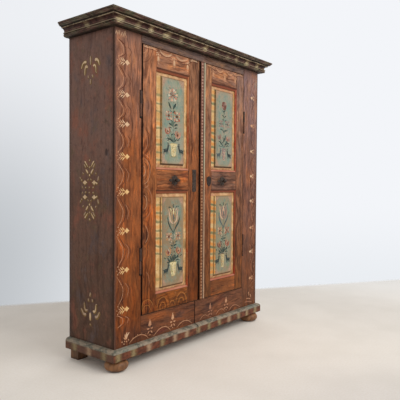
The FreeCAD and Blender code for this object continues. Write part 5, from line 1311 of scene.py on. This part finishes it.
def side_motifs(name, place):
    b = Brush(name, "carcass", "side_paint", place)
    g, d = "gold", "gold_dim"

    def mark(paint, pts, w, profile="leaf"):
        """A stroke with its darker shadow."""
        b.stroke("gold_shade", [(u + 2.0, v - 3.0) for u, v in pts], w + 11.0, "soft", 0.10, 1.0)
        b.stroke(paint, pts, w, profile, 0.5, 0.8)

    def spot(paint, u, v, r, squash=1.0):
        b.dot("gold_shade", u + 1.5, v - 2.0, r + 5.0, squash, 0.10)
        b.dot(paint, u, v, r, squash, 0.5)

    # top
    mark(d, [(-42, 1610), (-42, 1634), (-42, 1657)], 13)
    mark(g, [(-74, 1627), (-90, 1631), (-106, 1622), (-118, 1598)], 17, "comma")
    mark(g, [(-4, 1627), (10, 1631), (24, 1619), (30, 1598)], 18, "comma")
    mark(g, [(-65, 1598), (-77, 1606), (-86, 1592), (-88, 1560)], 15, "comma")
    mark(g, [(-19, 1599), (-7, 1605), (1, 1590), (2, 1566)], 14, "comma")
    mark(d, [(0, 1566), (12, 1562)], 5)
    mark(d, [(-62, 1557), (-57, 1541)], 8.5)
    mark(d, [(-28, 1557), (-21, 1541)], 8.5)
    mark(d, [(-42, 1535), (-42, 1522), (-42, 1508)], 10.5)
    # middle: knot of leaves and diamonds, the same above and below
    c = 947
    for s in (1, -1):

        def M(*pts):
            return [(u, c + s * (v - c)) for u, v in pts]
        spot(d, -49, c + s * 158, 5)
        mark(g, M((-63, 1070), (-76, 1086), (-89, 1100)), 9.5, "drop")
        mark(d, M((-80, 1066), (-88, 1076), (-97, 1087)), 8.5)
        mark(g, M((-37, 1070), (-25, 1086), (-12, 1100)), 9.5, "drop")
        mark(d, M((-21, 1065), (-13, 1076), (-3, 1088)), 8.5)
        spot(d, -49, c + s * 121, 4.5, 1.2)
        mark(g, M((-61, 1034), (-70, 1046), (-81, 1057)), 11.5)
        mark(g, M((-38, 1034), (-29, 1047), (-17, 1059)), 11.5)
        spot(g, -49, c + s * 79, 5, 1.2)
        mark(d, M((-108, 1040), (-98, 1031)), 7)
        mark(d, M((8, 1030), (-3, 1040)), 7)
        mark(d, M((-131, 1017), (-122, 1005)), 7)
        spot(d, -116, c + s * 52, 4.5)
        mark(d, M((25, 1019), (21, 1007), (19, 995)), 8.5)
        for u in (-87, -11):
            b.rhomb("gold_shade", u + 1, c + s * 39 - 2, 27, 19, 0.10)
            b.rhomb(g, u, c + s * 39, 20, 13.5, 0.5)
        spot(g, 11, c + s * 35, 5)
        for u, v, r in ((-82, 13, 4.5), (-51, 14, 4.0), (-19, 14, 5.0)):
            spot(d, u, c + s * v, r, 0.8)
        mark(d, M((-113, 969), (-107, 956)), 5)
        mark(d, M((-57, 1008), (-66, 998)), 5)
        mark(d, M((-42, 1008), (-34, 998)), 5)
    # bottom
    mark(d, [(-46, 373), (-44, 384), (-42, 396)], 10)
    mark(d, [(-60, 361), (-57, 345)], 7.5)
    mark(d, [(-27, 363), (-23, 347)], 8)
    mark(d, [(-66, 297), (-80, 294), (-90, 306), (-94, 338)], 13, "comma")
    mark(g, [(-20, 298), (-6, 297), (1, 312), (3, 337)], 13, "comma")
    mark(d, [(2, 336), (13, 339)], 4.5)
    mark(d, [(-77, 272), (-97, 270), (-110, 284), (-121, 298)], 16, "comma")
    mark(d, [(-4, 272), (10, 270), (23, 285), (35, 303)], 15, "comma")
    mark(g, [(-43, 286), (-43, 266), (-43, 243)], 12.5)
    spot(d, -43, 222, 4)
    b.build()


side_motifs("motifs_left_side", on_left)
side_motifs("motifs_right_side", on_right)


# ------------------------------------------------------------------ assignment

def assign(node, mat, bevel=0.0012, segments=2):
    o = nodes[node]
    o.data.materials.clear()
    o.data.materials.append(mat)
    w = o.modifiers.new("weld", "WELD")
    w.merge_threshold = 1e-5
    if bevel:
        bv = o.modifiers.new("edges", "BEVEL")
        bv.width = bevel
        bv.segments = segments
        bv.limit_method = "ANGLE"
        bv.angle_limit = math.radians(32)
        bv.use_clamp_overlap = True


RED = ((188, 104, 84), (121, 64, 40))
front = {
    # node: grain, ground colours high, middle and low, extra
    "left_front_stile": ("v", (153, 107, 85), (147, 87, 50), (126, 69, 31), dict(outer="left", figure=0.45, gap_shade_and_seams=[(-0.4815, 0.0062)], spots=[
        (-0.58, 0.14, 0.16, 0.13, (92, 56, 40), 0.85), (-0.64, 0.5, 0.05, 0.3, (112, 66, 40), 0.5), (-0.66, 1.3, 0.05, 0.5, (128, 92, 78), 0.5)])),
    # the right stile's first spot, grey high on its outer edge, is a painted sheen
    "right_front_stile": ("v", (146, 113, 105), (129, 90, 75), (109, 69, 47), dict(outer="right", figure=0.7, spots=[
        (0.655, 1.70, 0.035, 0.05, (128, 114, 110), 0.6), (0.60, 1.32, 0.04, 0.09, (106, 80, 74), 0.5), (0.585, 1.0, 0.03, 0.12, (150, 100, 70), 0.45),
        (0.60, 0.62, 0.03, 0.10, (98, 66, 52), 0.5)])),
    "front_top_rail": ("h", (116, 95, 87), (116, 95, 87), (116, 95, 87), dict(figure=0.3)),
    "left_base_board": ("h", (108, 67, 46), (108, 67, 46), (108, 67, 46), dict(figure=0.6, gap_shade_and_seams=[(-0.0195, 0.0062)], spots=[
        (-0.35, 0.235, 0.10, 0.035, (154, 88, 46), 0.75), (-0.155, 0.205, 0.06, 0.03, (66, 53, 54), 0.7),
        (-0.45, 0.18, 0.09, 0.04, (76, 50, 42), 0.6), (-0.32, 0.145, 0.07, 0.022, (116, 60, 48), 0.7)])),
    "right_base_board": ("h", (112, 73, 53), (112, 73, 53), (112, 73, 53), dict(figure=0.6, gap_shade_and_seams=[(-0.0195, 0.0062)], spots=[
        (0.12, 0.19, 0.07, 0.04, (82, 56, 50), 0.7), (0.25, 0.225, 0.07, 0.03, (138, 78, 52), 0.6)])),
    "left_hinge_stile": ("v", (161, 111, 82), (151, 92, 53), (122, 68, 30),
                         dict(opening=L_OPEN, gap_shade_and_seams=[(-0.4755, 0.0052)], figure=0.9, fans=[(-0.484, 1.215, 0.10), (-0.474, 1.05, 0.085), (-0.474, 0.88, 0.08), (-0.474, 0.70, 0.07), (-0.44, 0.27, 0.075)],
                              spots=[(-0.42, 0.80, 0.05, 0.10, (176, 98, 48), 0.7), (-0.455, 0.69, 0.025, 0.05, (86, 52, 36), 0.8),
                                     (-0.43, 1.42, 0.04, 0.09, (136, 98, 84), 0.6)])),
    "left_meeting_stile": ("v", (149, 104, 76), (137, 83, 49), (110, 58, 23), dict(opening=L_OPEN, figure=0.9, gap_shade_and_seams=[(0.0115, 0.0060)], spots=[
        (-0.04, 1.30, 0.03, 0.10, (166, 112, 84), 0.6), (-0.05, 0.55, 0.03, 0.12, (94, 54, 34), 0.6)])),
    "left_top_rail": ("h", (162, 114, 86), (162, 114, 86), (162, 114, 86), dict(opening=L_OPEN, figure=0.8)),
    "left_lock_rail": ("h", (154, 96, 59), (154, 96, 59), (154, 96, 59), dict(opening=L_OPEN, figure=0.7, spots=[
        (-0.21, 1.0, 0.07, 0.05, (94, 62, 46), 0.75), (-0.12, 1.03, 0.05, 0.03, (136, 76, 52), 0.6)])),
    "left_bottom_rail": ("h", (136, 81, 37), (136, 81, 37), (136, 81, 37),
                         dict(opening=L_OPEN, figure=0.4, fans=[(-0.31, 0.272, 0.075), (-0.148, 0.272, 0.075)])),
    "right_meeting_stile": ("v", (151, 110, 84), (137, 88, 60), (116, 72, 38), dict(reveal=RED, opening=R_OPEN, figure=0.7)),
    "right_top_rail": ("h", (166, 120, 94), (166, 120, 94), (166, 120, 94), dict(reveal=RED, opening=R_OPEN, figure=0.8)),
    "right_lock_rail": ("h", (128, 93, 76), (128, 93, 76), (128, 93, 76), dict(reveal=RED, opening=R_OPEN, figure=0.7, spots=[
        (0.25, 1.0, 0.08, 0.05, (90, 66, 56), 0.7)])),
    "right_bottom_rail": ("h", (135, 81, 45), (135, 81, 45), (135, 81, 45), dict(reveal=RED, opening=R_OPEN, figure=0.8)),
    "right_hinge_stile": ("v", (151, 115, 98), (135, 93, 70), (119, 74, 40), dict(reveal=RED, opening=R_OPEN, figure=0.8, spots=[
        (0.45, 1.25, 0.03, 0.12, (120, 96, 88), 0.6)])),
}
grain_seed = {
    "left_front_stile": 1.1447, "right_front_stile": 6.3923, "front_top_rail": 18.4861, "left_base_board": 13.3643, "right_base_board": 16.0924,
    "left_hinge_stile": 8.1448, "left_meeting_stile": 39.3867, "left_top_rail": 8.5832, "left_lock_rail": 35.2852, "left_bottom_rail": 11.4092,
    "right_meeting_stile": 31.7851, "right_top_rail": 2.0116, "right_lock_rail": 9.8169, "right_bottom_rail": 29.2862, "right_hinge_stile": 23.6668}
for n, (grain, up, mid, low, extra) in front.items():
    assign(n, frame_paint(n, grain, up, mid, low, grain_seed[n], **extra))

side = side_paint("paint_sides")
for n in ("left_side_board", "right_side_board"):
    assign(n, side)
for n, op, zr, seed, lean, warm, bright, tint, rim, lip in (("left_upper_panel", L_OPEN, UP_OPEN, 1.3, 0.3, 0.1, 1.06, (1.02, 1.02, 0.99), (84, 62, 38), 0.003), ("left_lower_panel", L_OPEN, LOW_OPEN, 4.7, 0.4, 1.1, 1.05, (0.97, 0.95, 0.90), (150, 112, 68), 0.007),
                                    ("right_upper_panel", R_OPEN, UP_OPEN, 8.1, 0.75, 0.3, 0.98, (1.02, 1.0, 1.0), (84, 62, 40), 0.002), ("right_lower_panel", R_OPEN, LOW_OPEN, 12.9, 1.0, 0.7, 0.97, (0.98, 0.94, 0.86), (160, 124, 78), 0.011)):
    assign(n, panel_paint(n, op, zr, seed, lean, warm, bright, tint, rim, lip), 0.0006)
for n, along in (("cornice_front", "x"), ("cornice_left", "y"), ("cornice_right", "y")):
    assign(n, cornice_paint("paint_" + n, along), 0.0008)
for n, along in (("plinth_front_left", "x"), ("plinth_front_right", "x"), ("plinth_left", "y"), ("plinth_right", "y")):
    assign(n, plinth_paint("paint_" + n, along), 0.0012)
assign("astragal", astragal_paint(), 0.0006)

pine_x = bare_wood("pine_lengthwise", "x", "y", "z")
pine_y = bare_wood("pine_cross", "y", "x", "z")
half = SIDE_X - 0.026
back = bare_wood("pine_back", "z", "x", "y", (150, 118, 86), (124, 94, 66), (82, 60, 44),
                 [(-0.66 * half, 0.82), (-0.31 * half, 1.3), (0.02 * half, 0.86), (0.35 * half, 0.9), (0.69 * half, 1.28)])
dusty = bare_wood("pine_top", "x", "y", "z", (156, 130, 100), (130, 104, 76), (92, 72, 54), [(0.0375, 0.9)])
assign("back_boards", back, 0.0015)
assign("top_boards", dusty, 0.0015)
for n in ("floor_boards", "lower_shelf", "middle_shelf", "upper_shelf", "door_stop"):
    assign(n, pine_x)
for n in ("floor_bearers", "shelf_cleats", "corner_blocks"):
    assign(n, pine_y)
for n, cx, cy, gain in (("left_bun_foot", -0.632, -0.1185, 0.85), ("right_bun_foot", 0.632, -0.1185, 0.85), ("left_rear_foot", -0.64, 0.19, 0.6),
                        ("right_rear_foot", 0.64, 0.19, 0.6)):
    assign(n, foot_wood("wood_" + n, cx, cy, gain), 0.002)
for i, n in enumerate(("frame_hinge_halves", "hinge_pins", "left_hinge_halves", "right_hinge_halves", "left_rosette", "right_rosette",
                       "left_iron_plate", "key_escutcheon", "lock_case", "lock_keeper", "bolt_guides", "lock_bolt", "left_top_bolt",
                       "left_bottom_bolt")):
    assign(n, iron("iron_" + n, i * 1.7, 0.95 if n == "left_iron_plate" else 1.0,
                   {"frame_hinge_halves": (112, 72, 54), "left_hinge_halves": (72, 50, 42), "right_hinge_halves": (92, 59, 43),
                    "key_escutcheon": (46, 34, 30)}.get(n), 1.0 if n == "right_hinge_halves" else 9.0), 0.0005)


# ------------------------------------------------------------------------ nails

def nails(name, body, places, r=0.0034):
    """Hammered nail heads on a face that looks to -Y: (x, y, z) of the face."""
    bm = bmesh.new()
    for x, y, z in places:
        rr = r * rng.uniform(0.88, 1.12)
        rings = []
        for k, (q, h) in enumerate(((1.0, -0.0004), (0.96, 0.0007), (0.62, 0.0014))):
            rings.append([bm.verts.new((x + rr * q * math.cos(t) * rng.uniform(0.95, 1.05), y - h, z + rr * q * math.sin(t) * rng.uniform(0.95, 1.05)))
                          for t in [TAU * i / 10 for i in range(10)]])
        mid = bm.verts.new((x, y - 0.0017, z))
        for a, b in zip(rings, rings[1:]):
            for i in range(10):
                bm.faces.new([a[i], a[(i + 1) % 10], b[(i + 1) % 10], b[i]])
        for i in range(10):
            bm.faces.new([rings[-1][i], rings[-1][(i + 1) % 10], mid])
        bm.faces.new(rings[0][::-1])
    bmesh.ops.recalc_face_normals(bm, faces=bm.faces)
    me = bpy.data.meshes.new(name)
    bm.to_mesh(me)
    bm.free()
    me.materials.append(iron("iron_" + name, 23.0, 0.7))
    o = bpy.data.objects.new(name, me)
    bpy.context.scene.collection.objects.link(o)
    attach(o, body)


plo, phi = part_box("left_iron_plate")
nails("plate_nails", "left_door", [(plo.x + 0.007, plo.y, z) for z in (0.948, 0.977, 0.993, 1.015, 1.033, 1.056)]
      + [(phi.x - 0.007, plo.y, z) for z in (0.952, 1.003, 1.052)])


# ------------------------------------------------------------------------ stage

def stage():
    bm = bmesh.new()
    n = 72
    mid = bm.verts.new((0.2, 0.0, 0.0))
    rim = [bm.verts.new((0.2 + 7.0 * math.cos(TAU * i / n), 7.0 * math.sin(TAU * i / n), 0.0)) for i in range(n)]
    for i in range(n):
        bm.faces.new([mid, rim[i], rim[(i + 1) % n]])
    me = bpy.data.meshes.new("floor")
    bm.to_mesh(me)
    bm.free()
    o = bpy.data.objects.new("floor", me)
    bpy.context.scene.collection.objects.link(o)
    m = Mat("floor_pale")
    n1 = m.noise(m.pos, 90.0, 4.0, 0.7)
    n2 = m.noise(m.pos, 3.0, 3.0, 0.5)
    col = m.mix(m.step(0.3, 0.7, n1), lin(243, 235, 225), lin(249, 243, 235))
    col = m.mix(m.step(0.35, 0.7, n2) * 0.4, col, lin(233, 226, 216))
    # painted shade darkens the floor away from the cupboard; far to the right a painted pool of light keeps it pale and
    # cool
    away = m.sqrt((m.x + 0.1) * (m.x + 0.1) + (m.y + 0.1) * (m.y + 0.1))
    col = m.glaze(m.step(0.55, 1.8, away) * (1.0 - m.step(1.4, 2.7, m.x)), col, 0.86, 0.87, 0.885)
    col = m.mix(m.step(1.4, 2.7, m.x) * 0.6, col, lin(240, 242, 244))
    # painted shade on the floor in front of the cupboard, deeper towards the right
    ahead, aside = m.x * 0.781 + m.y * 0.625, m.x * 0.625 - m.y * 0.781
    front_floor_shade = 1.0 - m.step(-0.95, -0.15, ahead)
    col = m.glaze(front_floor_shade, col, 0.94, 0.94, 0.945)
    col = m.glaze(front_floor_shade * m.step(0.1, 1.1, aside), col, 0.91, 0.915, 0.93)
    m.done(col, 0.85 + (n1 - 0.5) * 0.1, m.bump(n1, 0.002, 0.3), spec=0.1)
    me.materials.append(m.m)
    # the floor ends behind the cupboard and fades out all round
    r = m.sqrt((m.x - 0.2) * (m.x - 0.2) + m.y * m.y)
    behind = m.x * 0.5414 + m.y * 0.8407
    clear = m.new("ShaderNodeBsdfTransparent")
    mixn = m.new("ShaderNodeMixShader")
    out = [k for k in m.nt.nodes if k.type == "OUTPUT_MATERIAL"][0]
    m.put(m.max(m.step(3.0, 4.6, r), m.step(1.16, 1.26, behind)), mixn.inputs[0])
    m.nt.links.new(m.bsdf.outputs[0], mixn.inputs[1])
    m.nt.links.new(clear.outputs[0], mixn.inputs[2])
    m.nt.links.new(mixn.outputs[0], out.inputs[0])


stage()

scene = bpy.context.scene
scene.view_settings.view_transform = "Standard"
world = bpy.data.worlds.new("studio")
scene.world = world
world.use_nodes = True
nt = world.node_tree
nt.nodes.clear()


def wnode(kind, **sockets):
    n = nt.nodes.new(kind)
    for k, v in sockets.items():
        n.inputs[int(k[1:])].default_value = v
    return n


def wstep(a, b, sock):
    n = wnode("ShaderNodeMapRange", i1=a, i2=b)
    n.interpolation_type = "SMOOTHSTEP"
    nt.links.new(sock, n.inputs[0])
    return n.outputs[0]


def wmath(op, a, b):
    n = nt.nodes.new("ShaderNodeMath")
    n.operation = op
    for i, v in enumerate((a, b)):
        if isinstance(v, float):
            n.inputs[i].default_value = v
        else:
            nt.links.new(v, n.inputs[i])
    return n.outputs[0]


# backdrop: almost white, with painted shade low on one side
wout = nt.nodes.new("ShaderNodeOutputWorld")
wdir = nt.nodes.new("ShaderNodeTexCoord")
wdot = nt.nodes.new("ShaderNodeVectorMath")
wdot.operation = "DOT_PRODUCT"
nt.links.new(wdir.outputs["Generated"], wdot.inputs[0])
wdot.inputs[1].default_value = (-0.625, 0.781, 0.0)
wxyz = nt.nodes.new("ShaderNodeSeparateXYZ")
nt.links.new(wdir.outputs["Generated"], wxyz.inputs[0])
low = wmath("SUBTRACT", 1.0, wstep(-0.16, 0.30, wxyz.outputs[2]))
grey = wmath("MULTIPLY", wstep(0.02, 0.42, wdot.outputs["Value"]), wmath("ADD", wmath("MULTIPLY", low, 0.86), 0.14))
wcol = nt.nodes.new("ShaderNodeMix")
wcol.data_type = "RGBA"
nt.links.new(grey, wcol.inputs[0])
wcol.inputs[6].default_value = lin(243, 245, 249)
wcol.inputs[7].default_value = lin(188, 192, 196)
wfoot = nt.nodes.new("ShaderNodeMix")
wfoot.data_type = "RGBA"
nt.links.new(wmath("MULTIPLY", wmath("SUBTRACT", 1.0, grey), wmath("MULTIPLY", wmath("SUBTRACT", 1.0, wstep(-0.22, -0.02, wxyz.outputs[2])), 0.45)), wfoot.inputs[0])
nt.links.new(wcol.outputs[2], wfoot.inputs[6])
wfoot.inputs[7].default_value = lin(220, 226, 231)
see = wnode("ShaderNodeBackground", i1=1.0)
nt.links.new(wfoot.outputs[2], see.inputs[0])
glow = wnode("ShaderNodeBackground", i0=(1.0, 0.985, 0.965, 1.0), i1=0.66)
path = nt.nodes.new("ShaderNodeLightPath")
wmix = nt.nodes.new("ShaderNodeMixShader")
nt.links.new(path.outputs["Is Camera Ray"], wmix.inputs[0])
nt.links.new(glow.outputs[0], wmix.inputs[1])
nt.links.new(see.outputs[0], wmix.inputs[2])
nt.links.new(wmix.outputs[0], wout.inputs[0])


def area(name, place, target, size, power, colour):
    d = bpy.data.lights.new(name, "AREA")
    d.shape = "DISK"
    d.size = size
    d.energy = power
    d.color = colour
    o = bpy.data.objects.new(name, d)
    o.location = place
    o.rotation_euler = (Vector(target) - Vector(place)).to_track_quat("-Z", "Y").to_euler()
    scene.collection.objects.link(o)


area("key", (0.5, -4.6, 4.2), (0.0, 0.0, 0.9), 4.0, 170.0, (1.0, 0.98, 0.95))

cam = bpy.data.cameras.new("camera")
cam.sensor_width = 36.0
cam.lens = 500.83 / 400.0 * 36.0
cam_obj = bpy.data.objects.new("camera", cam)
yaw, pitch, roll = 0.89599, -0.03189, 0.00733
fwd = Vector((math.sin(yaw) * math.cos(pitch), math.cos(yaw) * math.cos(pitch), math.sin(pitch)))
right = Vector((math.cos(yaw), -math.sin(yaw), 0.0))
up = right.cross(fwd)
rx = right * math.cos(roll) + up * math.sin(roll)
uy = -right * math.sin(roll) + up * math.cos(roll)
rot = Matrix((rx, uy, -fwd)).transposed().to_4x4()
cam_obj.matrix_world = Matrix.Translation((-2.3982, -2.0876, 0.9822)) @ rot
scene.collection.objects.link(cam_obj)
scene.camera = cam_obj
